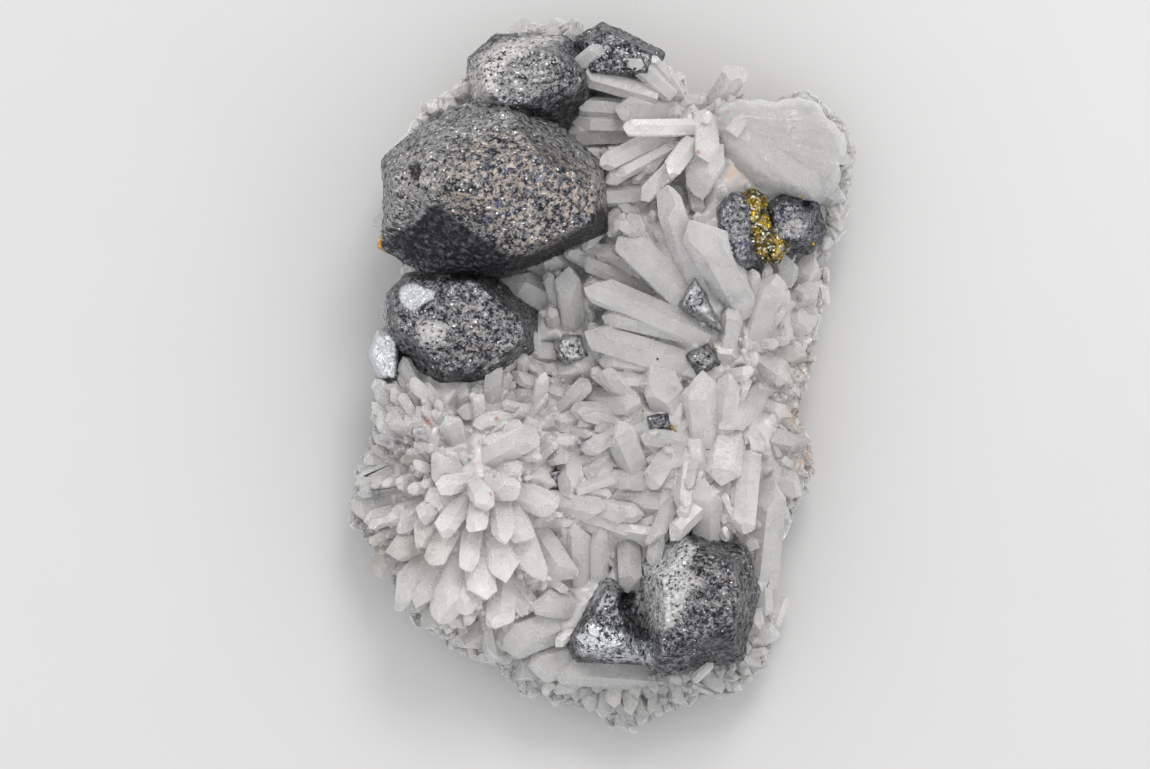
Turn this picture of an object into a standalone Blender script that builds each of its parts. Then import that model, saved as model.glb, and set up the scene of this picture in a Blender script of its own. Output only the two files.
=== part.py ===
"""A galena specimen: rounded galena crystals seated in one body of prismatic milky quartz.

It lies on a flat cut at z = 0, with +X to the right, +Y up and +Z towards the viewer of the
specimen's show side. The tables are in millimetres and the model is built in metres.
"""

import math

import bmesh
import bpy
import numpy as np
from mathutils import Matrix, Vector

MM = 0.001

# Driving dimensions, in millimetres
SEAT_GAP = 0.36
SLAB_CENTRE = (0.0, -2.0)
SLAB_EDGE_HEIGHT = 8.0
SLAB_WAIST_HEIGHT = 6.0
SLAB_CROWN_HEIGHT = 19.0
SLAB_SECTORS = 36
SLAB_WAVELENGTHS = (9.0, 4.5)
SLAB_ROUGH_ABOVE = 9.0
SLAB_ROUGH_HEIGHT = 1.6
SLAB_ROUGH_WIDTH = 0.9
LARGEST_LUMPY_SIZE = 12.0

# Shares and exponents, without a unit
SLAB_FOOT = 0.84
SLAB_RING_SHARES = [0.94, 0.78, 0.58, 0.36, 0.17]
SLAB_ROUNDING = 2.6
SLAB_FINER_SHARE = 0.6
MOUND_FADE = 2.5
THINNED_SHARE = 0.78

# Of a quartz crystal, as shares of its width
ROOT_DEPTH = 0.55
CORNER_REACH = 0.56
TIP_HEIGHT = 0.5
SHOULDER_SPREAD = (-0.2, 0.14)
TIP_LEAN = 0.16
TAPER = 0.05

# Of a galena lobe: a higher bluntness has sharper edges, lumps are shares of its size
BLUNTNESS = 26
LUMP_DEPTH = 0.05
LUMP_WAVELENGTH = 0.9

# How far the slab reaches from its centre, every 10 degrees from +X anticlockwise
SLAB_REACH = [
    32.5, 34.5, 38, 42, 50.5, 57, 53.5, 51, 49, 54, 56, 54,
    51, 47, 44, 38, 36.5, 35, 35.5, 35.5, 43, 45, 45, 47,
    48, 48, 50, 52, 54, 52, 52, 44, 38, 36, 36.5, 32.5,
]

# Mounds and hollows of the slab: x, y, height, radius
MOUNDS = [
    (17, 42, 13, 10),
    (31, 40, 9, 10),
    (19, 12, 4, 11),
    (-19, -18, 8, 12),
    (-25, -31, 4, 9),
    (-3, -42, 3, 9),
    (24, -18, 4, 9),
    (30, 8, 2, 8),
    (-4, -29, -4, 5),
    (-6, 0, -2, 7),
]

# Quartz crystals: tip x, tip y, rise of the tip above the root, root x, root y, width
UPPER_SPRAY = [
    (2.2, 44.7, 9, 16.7, 45.0, 4.5),
    (3.7, 41.3, 8, 15.0, 41.7, 2.7),
    (-0.3, 35.0, 7, 12.5, 41.7, 3.4),
    (2.0, 33.3, 5, 12.5, 39.2, 2.6),
    (6.7, 29.8, 4, 15.0, 38.0, 2.6),
    (10.8, 33.3, 7, 15.0, 39.0, 2.8),
    (-2.3, 30.3, 7, 15.0, 31.5, 3.5),
    (11.8, 26.3, 4, 15.0, 31.3, 2.0),
    (9.2, 30.5, 6, 15.0, 31.5, 2.0),
    (23.7, 52.5, 6, 19.0, 45.0, 4.7),
    (18.0, 36.0, 7, 17.5, 43.3, 3.7),
    (17.8, 29.5, 3, 17.5, 38.0, 6.2),
    (-6.3, 41.0, 2, 9.0, 41.7, 4.2),
    (-6.5, 44.5, 5, 7.5, 44.5, 2.2),
    (-3.2, 49.7, 7, 11.5, 47.5, 3.0),
    (0.0, 55.0, 5, -4.0, 51.5, 2.2),
    (4.7, 52.5, 7, 10.5, 48.3, 2.7),
    (7.2, 54.3, 5, 12.0, 49.3, 2.4),
    (12.0, 51.2, 7, 10.0, 47.5, 2.4),
    (13.2, 52.0, 3, 14.0, 47.5, 2.0),
]
RIGHT_SPRAY = [
    (34.5, 46.6, 2, 21.0, 43.0, 6.4),
    (38.2, 43.8, 2, 22.0, 42.0, 7.0),
    (40.6, 40.4, 1, 22.5, 41.0, 7.0),
    (40.8, 35.8, 2, 22.5, 41.0, 7.0),
    (39.8, 31.6, 3, 23.0, 41.0, 7.0),
    (37.6, 28.8, 4, 22.5, 41.5, 6.4),
    (33.4, 32.2, 3, 21.5, 40.5, 6.0),
    (42.8, 37.8, 0, 34.5, 36.5, 4.8),
    (41.6, 30.0, -1, 35.0, 33.0, 4.6),
]
MIDDLE_SPRAY = [
    (10.5, 31.3, 11, 16.3, 14.0, 4.2),
    (15.8, 26.5, 14, 24.2, 12.5, 6.6),
    (3.7, 23.8, 9, 15.5, 12.5, 4.8),
    (-3.0, 19.3, 5, 10.0, 14.0, 2.6),
    (-2.8, 15.8, 9, 17.5, 7.0, 4.6),
    (-2.5, 13.8, 3, 1.5, 11.5, 2.2),
    (-5.7, 18.0, 8, -4.5, 7.5, 3.9),
    (-2.7, 7.7, 7, 15.5, 2.0, 4.6),
    (-9.5, 19.8, 6, -3.3, 18.8, 2.9),
    (-16.3, 17.0, 3, -8.3, 12.7, 4.6),
    (-8.3, 11.7, 4, -7.6, 8.5, 2.2),
    (-11.7, 4.7, 4, -6.5, 4.3, 2.6),
    (19.0, 6.2, 3, 23.0, 3.0, 3.4),
    (22.6, 12.5, 3, 21.5, 5.0, 3.2),
]
CENTRE_CRYSTALS = [
    (6.8, -4.2, 6, -5.0, -3.3, 4.5),
    (-1.7, -0.3, 4, -7.8, -6.2, 2.8),
    (2.2, -7.0, 7, 6.5, -16.5, 4.6),
    (-1.3, -10.0, 4, -6.3, -8.3, 2.0),
    (7.0, -9.7, 5, 15.0, -10.8, 2.8),
    (16.2, 1.3, 7, 17.5, -10.5, 5.0),
    (21.7, 0.8, 6, 20.8, -9.0, 4.1),
    (20.0, -9.0, 7, 28.0, -1.3, 5.0),
    (20.2, -18.2, 5, 22.0, -8.8, 5.0),
    (17.7, -16.5, 6, 17.7, -27.5, 5.6),
    (23.7, -26.2, 4, 25.0, -12.8, 3.8),
    (28.7, -16.3, 8, 27.0, -34.5, 6.0),
    (8.5, 2.0, 7, 12.0, -5.0, 6.0),
    (-12.8, 4.3, 5, -13.2, -1.5, 1.8),
    (-17.5, 2.7, 6, -18.5, -5.5, 2.9),
    (-22.5, -0.8, 4, -22.5, -6.0, 2.6),
    (-11.5, -3.5, 4, -14.5, -3.0, 2.9),
    (9.0, -14.0, 3, 15.5, -13.0, 3.0),
    (4.0, -20.0, 3, 11.5, -21.0, 4.4),
]
RIGHT_EDGE = [
    (29.7, 17.7, 6, 26.0, 5.5, 4.1),
    (31.2, 21.4, 4, 30.5, 16.5, 4.4),
    (35.7, 21.4, 3, 34.0, 16.0, 4.4),
    (37.4, 15.8, 1, 33.0, 12.5, 4.0),
    (36.8, 9.8, 1, 31.5, 8.5, 4.0),
    (34.8, 3.5, 2, 28.5, 4.0, 3.4),
    (31.8, -0.3, 4, 27.0, 3.5, 3.6),
    (35.4, -11.5, -1, 28.5, -10.0, 4.2),
    (34.4, -18.8, -1, 28.5, -16.5, 4.2),
]
LEFT_SPRAY = [
    (-10.0, -8.7, 10, -19.5, -13.5, 4.4),
    (-13.8, -19.0, 8, -19.0, -17.3, 3.8),
    (-7.0, -22.0, 6, -15.5, -18.2, 4.0),
    (1.0, -22.3, 3, -9.5, -20.2, 3.8),
    (-15.7, -27.8, 7, -16.8, -19.5, 4.0),
    (-10.0, -34.3, 4, -15.0, -20.5, 4.4),
    (-5.0, -34.2, 2, -11.2, -25.0, 4.3),
    (-15.8, -33.7, 6, -17.2, -23.5, 4.7),
    (-25.5, -5.8, 5, -24.0, -11.5, 3.4),
    (-18.8, -20.8, 9, -21.0, -17.5, 3.2),
    (-12.8, -15.8, 7, -16.5, -15.0, 3.2),
    (-5.8, -13.0, 5, -8.5, -13.5, 2.6),
    (-28.5, -14.5, 7, -23.0, -15.5, 4.2),
    (-29.0, -21.0, 6, -23.0, -19.5, 4.4),
    (-35.4, -38.0, 3, -25.5, -27.5, 4.6),
    (-30.4, -38.4, 4, -25.0, -28.0, 3.4),
    (-26.7, -40.7, 6, -22.3, -29.0, 5.6),
    (-22.8, -39.2, 6, -20.6, -29.5, 3.6),
    (-19.3, -37.3, 7, -20.8, -27.0, 4.0),
    (-16.7, -42.3, 6, -15.8, -31.5, 4.7),
    (-36.0, -28.5, 3, -26.5, -26.5, 4.6),
    (-33.6, -25.6, 6, -29.0, -20.5, 3.4),
    (-41.8, -22.6, 0, -34.5, -20.5, 4.4),
    (-40.8, -15.6, 0, -34.0, -15.5, 4.2),
    (-39.0, -32.4, -1, -32.5, -29.5, 4.2),
]
BOTTOM_CRYSTALS = [
    (-11.3, -37.0, 5, -4.0, -38.7, 4.0),
    (-3.7, -24.0, 6, -3.3, -35.5, 3.5),
    (-0.3, -24.3, 5, -0.2, -35.0, 3.0),
    (5.3, -35.8, 3, 4.7, -26.5, 3.8),
    (-4.7, -20.0, 6, -5.0, -12.0, 4.0),
    (0.2, -17.8, 5, 1.0, -13.5, 3.0),
    (-16.7, -44.7, 3, -6.5, -40.5, 6.0),
    (-7.8, -49.0, 5, 10.0, -50.5, 4.8),
    (-12.2, -48.8, 2, -4.5, -47.0, 5.0),
    (-14.5, -50.8, -1, -9.5, -46.5, 4.4),
    (-24.5, -46.0, 0, -18.0, -41.5, 4.4),
    (-30.5, -41.5, 0, -25.0, -37.5, 4.2),
    (-6.0, -54.0, -1, -3.5, -48.0, 4.6),
    (3.8, -60.2, -1, 3.5, -52.0, 6.0),
    (8.8, -58.0, -1, 7.5, -51.5, 5.4),
    (20.0, -53.6, 0, 17.5, -48.5, 5.0),
    (27.4, -48.8, 0, 23.0, -46.0, 4.6),
    (30.6, -44.0, 0, 25.5, -43.0, 4.2),
]
TOP_EDGE = [
    (-13.2, 60.4, 5, -13.0, 52.0, 4.2),
    (-7.5, 59.0, 2, -8.0, 51.5, 4.6),
    (-38.6, 26.4, 3, -32.5, 27.0, 3.2),
]
SPRAYS = {
    "upper": UPPER_SPRAY,
    "right": RIGHT_SPRAY,
    "middle": MIDDLE_SPRAY,
    "centre": CENTRE_CRYSTALS,
    "edge": RIGHT_EDGE,
    "left": LEFT_SPRAY,
    "bottom": BOTTOM_CRYSTALS,
    "top": TOP_EDGE,
}

# Each galena lobe: its centre, its sides as azimuth, reach in plan and how far the side leans
# inwards above and below the widest level, and its caps as azimuth, elevation and reach.
# Angles are in degrees, top and bottom are heights from the centre.
LOBES = {
    "large": {
        "centre": (-17.5, 31.8, 26.0), "top": 16.5, "bottom": 16.0, "rows": 7,
        "sides": [
            (180, 18.8, 14, 22), (130, 15.6, 22, 25), (112, 14.6, 24, 25), (52, 14.4, 22, 22),
            (3, 18.8, 14, 25), (-68, 14.4, 13, 25), (-95, 14.8, 18, 22), (-117, 17.6, 42, 22),
        ],
        "caps": [(100, 50, 14.0), (-60, 74, 15.4), (170, 62, 16.6), (15, 55, 17.5)],
    },
    "upper": {
        "centre": (-11.7, 49.4, 22.0), "top": 12.0, "bottom": 11.0, "rows": 5,
        "sides": [
            (180, 10.3, 16, 25), (132, 9.8, 18, 25), (88, 7.9, 16, 25), (42, 9.6, 18, 25),
            (0, 10.4, 14, 25), (-45, 9.8, 24, 25), (-90, 8.4, 20, 25), (-135, 10.0, 18, 25),
        ],
        "caps": [(120, 60, 11.2), (-30, 52, 10.6)],
    },
    "top": {
        "centre": (2.6, 54.2, 19.5), "top": 8.0, "bottom": 7.5, "rows": 4,
        "sides": [
            (64, 4.0, 12, 22), (-8, 7.8, 16, 22), (-90, 5.0, 12, 22), (188, 6.4, 14, 22), (122, 5.8, 14, 22),
        ],
        "caps": [(64, 60, 7.6)],
    },
    "middle": {
        "centre": (-23.0, 8.7, 18.5), "top": 11.0, "bottom": 9.5, "rows": 5,
        "sides": [
            (180, 12.6, 16, 25), (-130, 10.2, 20, 25), (-92, 10.4, 20, 25), (-50, 11.8, 20, 25),
            (0, 12.7, 14, 25), (50, 10.0, 16, 25), (92, 9.4, 12, 25), (140, 13.0, 16, 25),
        ],
        "caps": [(150, 55, 11.6), (-100, 56, 10.4)],
    },
    "plate": {
        "centre": (-36.6, 3.6, 16.5), "top": 4.6, "bottom": 5.0, "rows": 3,
        "sides": [
            (205, 2.2, 12, 20), (158, 2.6, 12, 20), (85, 4.6, 12, 20), (-85, 4.6, 12, 20), (0, 3.6, 12, 20),
        ],
        "caps": [],
    },
    "lump": {
        "centre": (-35.0, -2.2, 15.0), "top": 4.6, "bottom": 4.5, "rows": 3,
        "sides": [
            (180, 2.7, 15, 20), (120, 3.6, 15, 20), (60, 3.6, 15, 20), (0, 3.2, 15, 20), (-90, 3.0, 15, 20),
        ],
        "caps": [(150, 50, 4.6)],
    },
    "right_a": {
        "centre": (22.8, 25.0, 20.0), "top": 8.5, "bottom": 8.0, "rows": 4,
        "sides": [
            (180, 4.6, 14, 25), (135, 6.2, 16, 25), (80, 7.0, 14, 25), (0, 4.9, 20, 25),
            (-50, 7.4, 18, 25), (-90, 7.8, 16, 25), (-135, 6.0, 16, 25),
        ],
        "caps": [(200, 58, 8.0), (90, 58, 8.8)],
    },
    "right_b": {
        "centre": (32.1, 26.0, 18.0), "top": 7.4, "bottom": 7.0, "rows": 4,
        "sides": [
            (180, 6.4, 24, 25), (120, 5.6, 16, 25), (75, 5.3, 18, 25), (15, 5.2, 18, 25),
            (-40, 5.6, 16, 25), (-90, 5.1, 18, 25), (-140, 6.0, 16, 25),
        ],
        "caps": [(30, 55, 7.2)],
    },
    "crust": {
        "centre": (26.9, 25.2, 23.6), "top": 3.4, "bottom": 5.4, "rows": 4,
        "sides": [
            (172, 3.8, 30, 20), (95, 5.8, 20, 20), (0, 3.0, 24, 20), (-60, 7.2, 20, 20), (-100, 6.4, 20, 20),
        ],
        "caps": [],
    },
    "triangle": {
        "centre": (16.3, 12.0, 22.0), "top": 4.0, "bottom": 4.0, "rows": 3,
        "sides": [(26, 2.2, 10, 15), (153, 3.1, 12, 15), (-121, 1.8, 14, 15)],
        "caps": [],
    },
    "small_centre": {
        "centre": (-4.8, 5.0, 18.6), "top": 3.4, "bottom": 4.0, "rows": 3,
        "sides": [
            (20, 2.6, 16, 20), (85, 2.5, 16, 20), (150, 2.7, 16, 20),
            (-145, 2.6, 18, 20), (-70, 2.6, 16, 20),
        ],
        "caps": [(60, 55, 3.4)],
    },
    "small_right": {
        "centre": (17.2, 3.1, 20.4), "top": 3.6, "bottom": 4.0, "rows": 3,
        "sides": [(30, 2.2, 16, 20), (120, 2.2, 16, 20), (-150, 2.3, 16, 20), (-60, 2.2, 16, 20)],
        "caps": [],
    },
    "bottom_main": {
        "centre": (16.7, -38.2, 17.0), "top": 12.5, "bottom": 9.0, "rows": 6,
        "sides": [
            (182, 9.8, 18, 25), (135, 12.0, 20, 25), (72, 11.6, 16, 25), (20, 10.6, 16, 25),
            (-14, 9.4, 18, 25), (-45, 11.8, 24, 25), (-80, 10.4, 24, 25), (-118, 12.8, 20, 25),
        ],
        "caps": [(110, 55, 12.8), (-40, 52, 12.2), (-120, 60, 13.0)],
    },
    "bottom_left": {
        "centre": (0.8, -40.6, 16.0), "top": 9.0, "bottom": 8.0, "rows": 5,
        "sides": [
            (90, 8.4, 22, 25), (150, 4.8, 16, 25), (205, 7.6, 18, 25), (-90, 7.2, 20, 25),
            (-55, 10.6, 18, 25), (0, 7.4, 26, 25), (55, 7.8, 22, 25),
        ],
        "caps": [(-120, 50, 8.4)],
    },
    "grain_centre": {
        "centre": (-7.3, -17.0, 20.8), "top": 2.6, "bottom": 2.6, "rows": 3,
        "sides": [(0, 1.6, 12, 15), (100, 2.1, 14, 15), (180, 1.7, 12, 15), (-80, 2.1, 14, 15)],
        "caps": [],
    },
    "grain_right": {
        "centre": (9.8, -7.4, 19.4), "top": 2.6, "bottom": 2.4, "rows": 3,
        "sides": [(10, 2.0, 12, 15), (100, 1.5, 12, 15), (190, 2.0, 12, 15), (-80, 1.5, 12, 15)],
        "caps": [],
    },
}

# The nodes in the order in which they are seated: their lobes, and the nodes that cut into them
ORE_PIECES = {
    "galena_large": (["large"], []),
    "galena_top": (["top"], []),
    "galena_upper": (["upper"], ["galena_large", "galena_top"]),
    "galena_middle": (["middle"], ["galena_large"]),
    "galena_left_edge": (["plate", "lump"], ["galena_middle"]),
    "galena_right": (["right_a", "right_b"], []),
    "chalcopyrite_crust": (["crust"], ["galena_right"]),
    "galena_triangle": (["triangle"], []),
    "galena_small_centre": (["small_centre"], []),
    "galena_small_right": (["small_right"], []),
    "galena_bottom": (["bottom_main", "bottom_left"], []),
    "galena_grain_centre": (["grain_centre"], []),
    "galena_grain_right": (["grain_right"], []),
}


def clear_scene():
    for old in list(bpy.data.objects):
        bpy.data.objects.remove(old, do_unlink=True)


def principled(name, colour, roughness, metallic):
    made = bpy.data.materials.new(name)
    made.use_nodes = True
    shader = made.node_tree.nodes["Principled BSDF"]
    shader.inputs["Base Color"].default_value = (*colour, 1.0)
    shader.inputs["Roughness"].default_value = roughness
    shader.inputs["Metallic"].default_value = metallic
    return made


def plane_waves(points, seed, wavelength):
    """The mean of seeded sine waves that cross the points in all directions, between -1 and 1."""
    count = 7
    draw = np.random.default_rng(seed)
    heading = draw.normal(size=(count, 3))
    heading *= 2 * math.pi / wavelength / np.linalg.norm(heading, axis=1, keepdims=True)
    phase = draw.uniform(0, 2 * math.pi, count)
    return np.sin(points @ heading.T + phase).mean(axis=1)


def slab_reach(angle):
    """The slab's reach at an angle in radians, by straight lines between the stations."""
    stations = np.arange(len(SLAB_REACH) + 1) * 2 * math.pi / len(SLAB_REACH)
    return np.interp(np.mod(angle, 2 * math.pi), stations, SLAB_REACH + SLAB_REACH[:1])


def slab_height(x, y):
    """The slab's upper surface: a crown that falls off to the edge, with the mounds added."""
    across = np.hypot(x - SLAB_CENTRE[0], y - SLAB_CENTRE[1])
    angle = np.arctan2(y - SLAB_CENTRE[1], x - SLAB_CENTRE[0])
    share = np.minimum(across / slab_reach(angle), 1.0)
    fall = np.sqrt(1 - share**SLAB_ROUNDING)
    height = SLAB_EDGE_HEIGHT + (SLAB_CROWN_HEIGHT - SLAB_EDGE_HEIGHT) * fall
    for mound_x, mound_y, rise, radius in MOUNDS:
        near = np.exp(-((x - mound_x) ** 2 + (y - mound_y) ** 2) / radius**2)
        height = height + rise * near * np.minimum(1, MOUND_FADE * fall)
    return height


def object_from(name, points, faces, material=None, collection=None, flat_faces=False):
    """An object from points in millimetres and faces, facing out, in triangles unless its faces are flat."""
    mesh = bpy.data.meshes.new(name)
    mesh.from_pydata([tuple(p) for p in np.asarray(points) * MM], [], faces)
    work = bmesh.new()
    work.from_mesh(mesh)
    bmesh.ops.recalc_face_normals(work, faces=work.faces)
    if not flat_faces:
        bmesh.ops.triangulate(work, faces=work.faces)
    work.to_mesh(mesh)
    work.free()
    made = bpy.data.objects.new(name, mesh)
    (collection or bpy.context.scene.collection).objects.link(made)
    if material:
        mesh.materials.append(material)
    return made


def helper_collection(name):
    made = bpy.data.collections.new(name)
    bpy.context.scene.collection.children.link(made)
    made.hide_render = True
    return made


def add_helper(made):
    made.hide_render = True
    made.display_type = "WIRE"
    return made


def ring_faces(rings, sectors):
    """Quads between rings that follow one another, each with the same number of points."""
    faces = []
    for ring in range(rings - 1):
        for sector in range(sectors):
            after = (sector + 1) % sectors
            low, high = ring * sectors, (ring + 1) * sectors
            faces.append((low + sector, low + after, high + after, high + sector))
    return faces


def make_slab(material):
    """The quartz body under the crystals: rings from the flat foot, round the edge and up to the crown."""
    angle = np.arange(SLAB_SECTORS) * 2 * math.pi / SLAB_SECTORS
    rings = [(SLAB_FOOT, 0.0), (1.0, SLAB_WAIST_HEIGHT)]
    rings += [(share, None) for share in SLAB_RING_SHARES]
    ring_points = []
    for share, level in rings:
        reach = slab_reach(angle) * share
        x = SLAB_CENTRE[0] + reach * np.cos(angle)
        y = SLAB_CENTRE[1] + reach * np.sin(angle)
        z = slab_height(x, y) if level is None else np.full_like(x, level)
        ring_points.append(np.stack([x, y, z], axis=1))
    points = np.concatenate(ring_points)
    coarse, fine = [plane_waves(points, seed, span) for seed, span in zip((5, 6), SLAB_WAVELENGTHS)]
    rough = coarse + SLAB_FINER_SHARE * fine
    points[:, 2] += np.where(points[:, 2] > SLAB_ROUGH_ABOVE, SLAB_ROUGH_HEIGHT * rough, 0)
    points[SLAB_SECTORS:, 0] += SLAB_ROUGH_WIDTH * rough[SLAB_SECTORS:]
    crown = np.array([[*SLAB_CENTRE, slab_height(*SLAB_CENTRE)]])
    faces = ring_faces(len(rings), SLAB_SECTORS)
    faces.append(tuple(range(SLAB_SECTORS)))
    last = (len(rings) - 1) * SLAB_SECTORS
    top = len(points)
    for sector in range(SLAB_SECTORS):
        faces.append((last + sector, last + (sector + 1) % SLAB_SECTORS, top))
    return object_from("quartz_matrix", np.concatenate([points, crown]), faces, material)


def make_prism(name, row, draw, collection):
    """One quartz crystal: a six-sided prism whose six end faces meet at a point a little off its axis."""
    tip_x, tip_y, rise, root_x, root_y, width = row
    root_z = float(slab_height(root_x, root_y)) - ROOT_DEPTH * width
    root = Vector((root_x, root_y, root_z))
    axis = Vector((tip_x, tip_y, root_z + rise)) - root
    length = axis.length
    radius = width * CORNER_REACH
    turn = draw.uniform(0, math.pi / 3)
    shoulder = length - TIP_HEIGHT * width
    corners = [turn + side * math.pi / 3 for side in range(6)]
    local = [(radius * math.cos(a), radius * math.sin(a), 0) for a in corners]
    for a in corners:
        height = shoulder + draw.uniform(*SHOULDER_SPREAD) * width
        reach = radius * (1 - TAPER * height / length)
        local.append((reach * math.cos(a), reach * math.sin(a), height))
    lean = draw.uniform(-TIP_LEAN, TIP_LEAN, 2) * width
    local.append((lean[0], lean[1], length))
    turned = axis.to_track_quat("Z", "Y").to_matrix().to_4x4()
    place = Matrix.Translation(root) @ turned
    points = [place @ Vector(p) for p in local]
    faces = ring_faces(2, 6) + [tuple(range(6))]
    faces += [(6 + side, 6 + (side + 1) % 6, 12) for side in range(6)]
    return add_helper(object_from(name, points, faces, collection=collection, flat_faces=True))


def cube_sphere(rows):
    """Unit directions over a ball, from the grid of rows on each face of a cube, and its quads."""
    index, points, faces = {}, [], []

    def corner(key):
        if key not in index:
            index[key] = len(points)
            points.append(np.tan(np.array(key) / rows * math.pi / 4))
        return index[key]

    steps = range(-rows, rows, 2)
    for axis in range(3):
        for side in (-rows, rows):
            for a in steps:
                for b in steps:
                    quad = []
                    for step_a, step_b in ((a, b), (a + 2, b), (a + 2, b + 2), (a, b + 2)):
                        key = [step_a, step_b]
                        key.insert(axis, side)
                        quad.append(corner(tuple(key)))
                    faces.append(tuple(quad))
    points = np.array(points)
    return points / np.linalg.norm(points, axis=1, keepdims=True), faces


def facing(azimuth, elevation):
    """The unit direction at an azimuth and an elevation in degrees."""
    a, e = math.radians(azimuth), math.radians(elevation)
    return math.cos(e) * math.cos(a), math.cos(e) * math.sin(a), math.sin(e)


def lobe_planes(lobe):
    """Unit normals of a lobe's flat sides, and their distances from its centre."""
    planes = [(facing(0, 90), lobe["top"]), (facing(0, -90), lobe["bottom"])]
    for azimuth, reach, above, below in lobe["sides"]:
        for lean in (above, -below):
            planes.append((facing(azimuth, lean), reach * math.cos(math.radians(lean))))
    for azimuth, elevation, reach in lobe["caps"]:
        planes.append((facing(azimuth, elevation), reach))
    return np.array([normal for normal, _ in planes]), np.array([reach for _, reach in planes])


def make_lobe(name, lobe, grow=0.0, collection=None):
    """A rounded block: its radius in each direction is a soft least of the distances to its sides."""
    directions, faces = cube_sphere(lobe["rows"])
    normals, reaches = lobe_planes(lobe)
    closeness = np.maximum(directions @ normals.T, 0) / reaches
    radius = (closeness**BLUNTNESS).sum(axis=1) ** (-1 / BLUNTNESS)
    size = min(radius.mean(), LARGEST_LUMPY_SIZE)
    lumps = plane_waves(directions * size, len(lobe["sides"]), size * LUMP_WAVELENGTH)
    radius = radius * (1 + LUMP_DEPTH * lumps)
    points = np.array(lobe["centre"]) + directions * radius[:, None]
    made = object_from(name, points, faces, collection=collection)
    if grow:
        swell(made, grow)
    return made


def swell(made, grow):
    """Moves every point of an object outwards along its normal."""
    work = bmesh.new()
    work.from_mesh(made.data)
    work.normal_update()
    for vertex in work.verts:
        vertex.co += vertex.normal * grow * vertex.calc_shell_factor() * MM
    work.to_mesh(made.data)
    work.free()


def combine(target, operation, others):
    """Joins other objects to the target or cuts them from it, one by one, and keeps the resulting mesh."""
    for other in others:
        modifier = target.modifiers.new(other.name, "BOOLEAN")
        modifier.operation = operation
        modifier.solver = "EXACT"
        modifier.object = other
        bpy.context.view_layer.update()
        graph = bpy.context.evaluated_depsgraph_get()
        finished = bpy.data.meshes.new_from_object(target.evaluated_get(graph))
        target.modifiers.remove(modifier)
        target.data = finished


def keep_largest_body(made):
    """Removes chips that a cut has parted from the main body."""
    work = bmesh.new()
    work.from_mesh(made.data)
    unseen = set(work.faces)
    bodies = []
    while unseen:
        body, waiting = set(), [unseen.pop()]
        while waiting:
            face = waiting.pop()
            body.add(face)
            for edge in face.edges:
                for other in edge.link_faces:
                    if other in unseen:
                        unseen.discard(other)
                        waiting.append(other)
        bodies.append(body)
    bodies.sort(key=lambda body: sum(face.calc_area() for face in body))
    for body in bodies[:-1]:
        bmesh.ops.delete(work, geom=list(body), context="FACES")
    work.to_mesh(made.data)
    work.free()


def make_quartz(material):
    """The slab with every crystal joined to it, in one closed body."""
    quartz = make_slab(material)
    for spray, rows in SPRAYS.items():
        helpers = helper_collection(f"prisms_{spray}")
        draw = np.random.default_rng(len(spray))
        prisms = [make_prism(f"prism_{spray}_{n}", row, draw, helpers) for n, row in enumerate(rows)]
        combine(quartz, "UNION", prisms)
    return quartz


def thin_out(made):
    """Collapses the shortest edges and the flattest corners that the joins have left."""
    modifier = made.modifiers.new("thin", "DECIMATE")
    modifier.ratio = THINNED_SHARE
    bpy.context.view_layer.update()
    graph = bpy.context.evaluated_depsgraph_get()
    finished = bpy.data.meshes.new_from_object(made.evaluated_get(graph))
    made.modifiers.remove(modifier)
    made.data = finished


def make_ore(name, lobes, cutting, material, seats):
    """One ore piece: its lobes joined, less the room of the pieces that were seated before it."""
    piece = make_lobe(name, LOBES[lobes[0]])
    piece.data.materials.append(material)
    helpers = helper_collection(f"seat_{name}")
    more = [add_helper(make_lobe(f"lobe_{lobe}", LOBES[lobe], collection=helpers)) for lobe in lobes[1:]]
    combine(piece, "UNION", more)
    for other in cutting:
        combine(piece, "DIFFERENCE", seats[other])
    keep_largest_body(piece)
    seats[name] = [add_helper(make_lobe(f"seat_{lobe}", LOBES[lobe], SEAT_GAP, helpers)) for lobe in lobes]
    return piece


def main():
    clear_scene()
    quartz_finish = principled("quartz", (0.62, 0.6, 0.57), 0.28, 0.0)
    galena_finish = principled("galena", (0.16, 0.165, 0.18), 0.42, 1.0)
    brassy_finish = principled("chalcopyrite", (0.55, 0.4, 0.12), 0.4, 1.0)
    quartz = make_quartz(quartz_finish)
    seats = {}
    for name, (lobes, cutting) in ORE_PIECES.items():
        finish = brassy_finish if name.startswith("chalcopyrite") else galena_finish
        make_ore(name, lobes, cutting, finish, seats)
    for seat in seats.values():
        combine(quartz, "DIFFERENCE", seat)
    keep_largest_body(quartz)
    thin_out(quartz)


main()
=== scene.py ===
import itertools
import math

import bpy
import numpy as np
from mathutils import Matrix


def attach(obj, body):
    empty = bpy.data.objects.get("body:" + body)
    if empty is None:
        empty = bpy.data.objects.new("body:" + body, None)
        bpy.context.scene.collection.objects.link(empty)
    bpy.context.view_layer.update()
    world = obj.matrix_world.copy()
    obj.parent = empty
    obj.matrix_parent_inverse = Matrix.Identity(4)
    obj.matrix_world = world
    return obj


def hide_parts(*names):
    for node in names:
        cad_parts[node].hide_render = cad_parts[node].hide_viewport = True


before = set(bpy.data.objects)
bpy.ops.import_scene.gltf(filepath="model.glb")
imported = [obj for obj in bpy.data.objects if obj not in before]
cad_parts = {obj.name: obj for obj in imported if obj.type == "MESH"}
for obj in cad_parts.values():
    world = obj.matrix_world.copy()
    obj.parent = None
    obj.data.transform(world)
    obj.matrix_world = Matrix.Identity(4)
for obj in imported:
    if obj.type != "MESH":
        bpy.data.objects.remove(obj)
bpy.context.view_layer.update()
mm = 0.001  # the tables below are in millimetres
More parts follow.
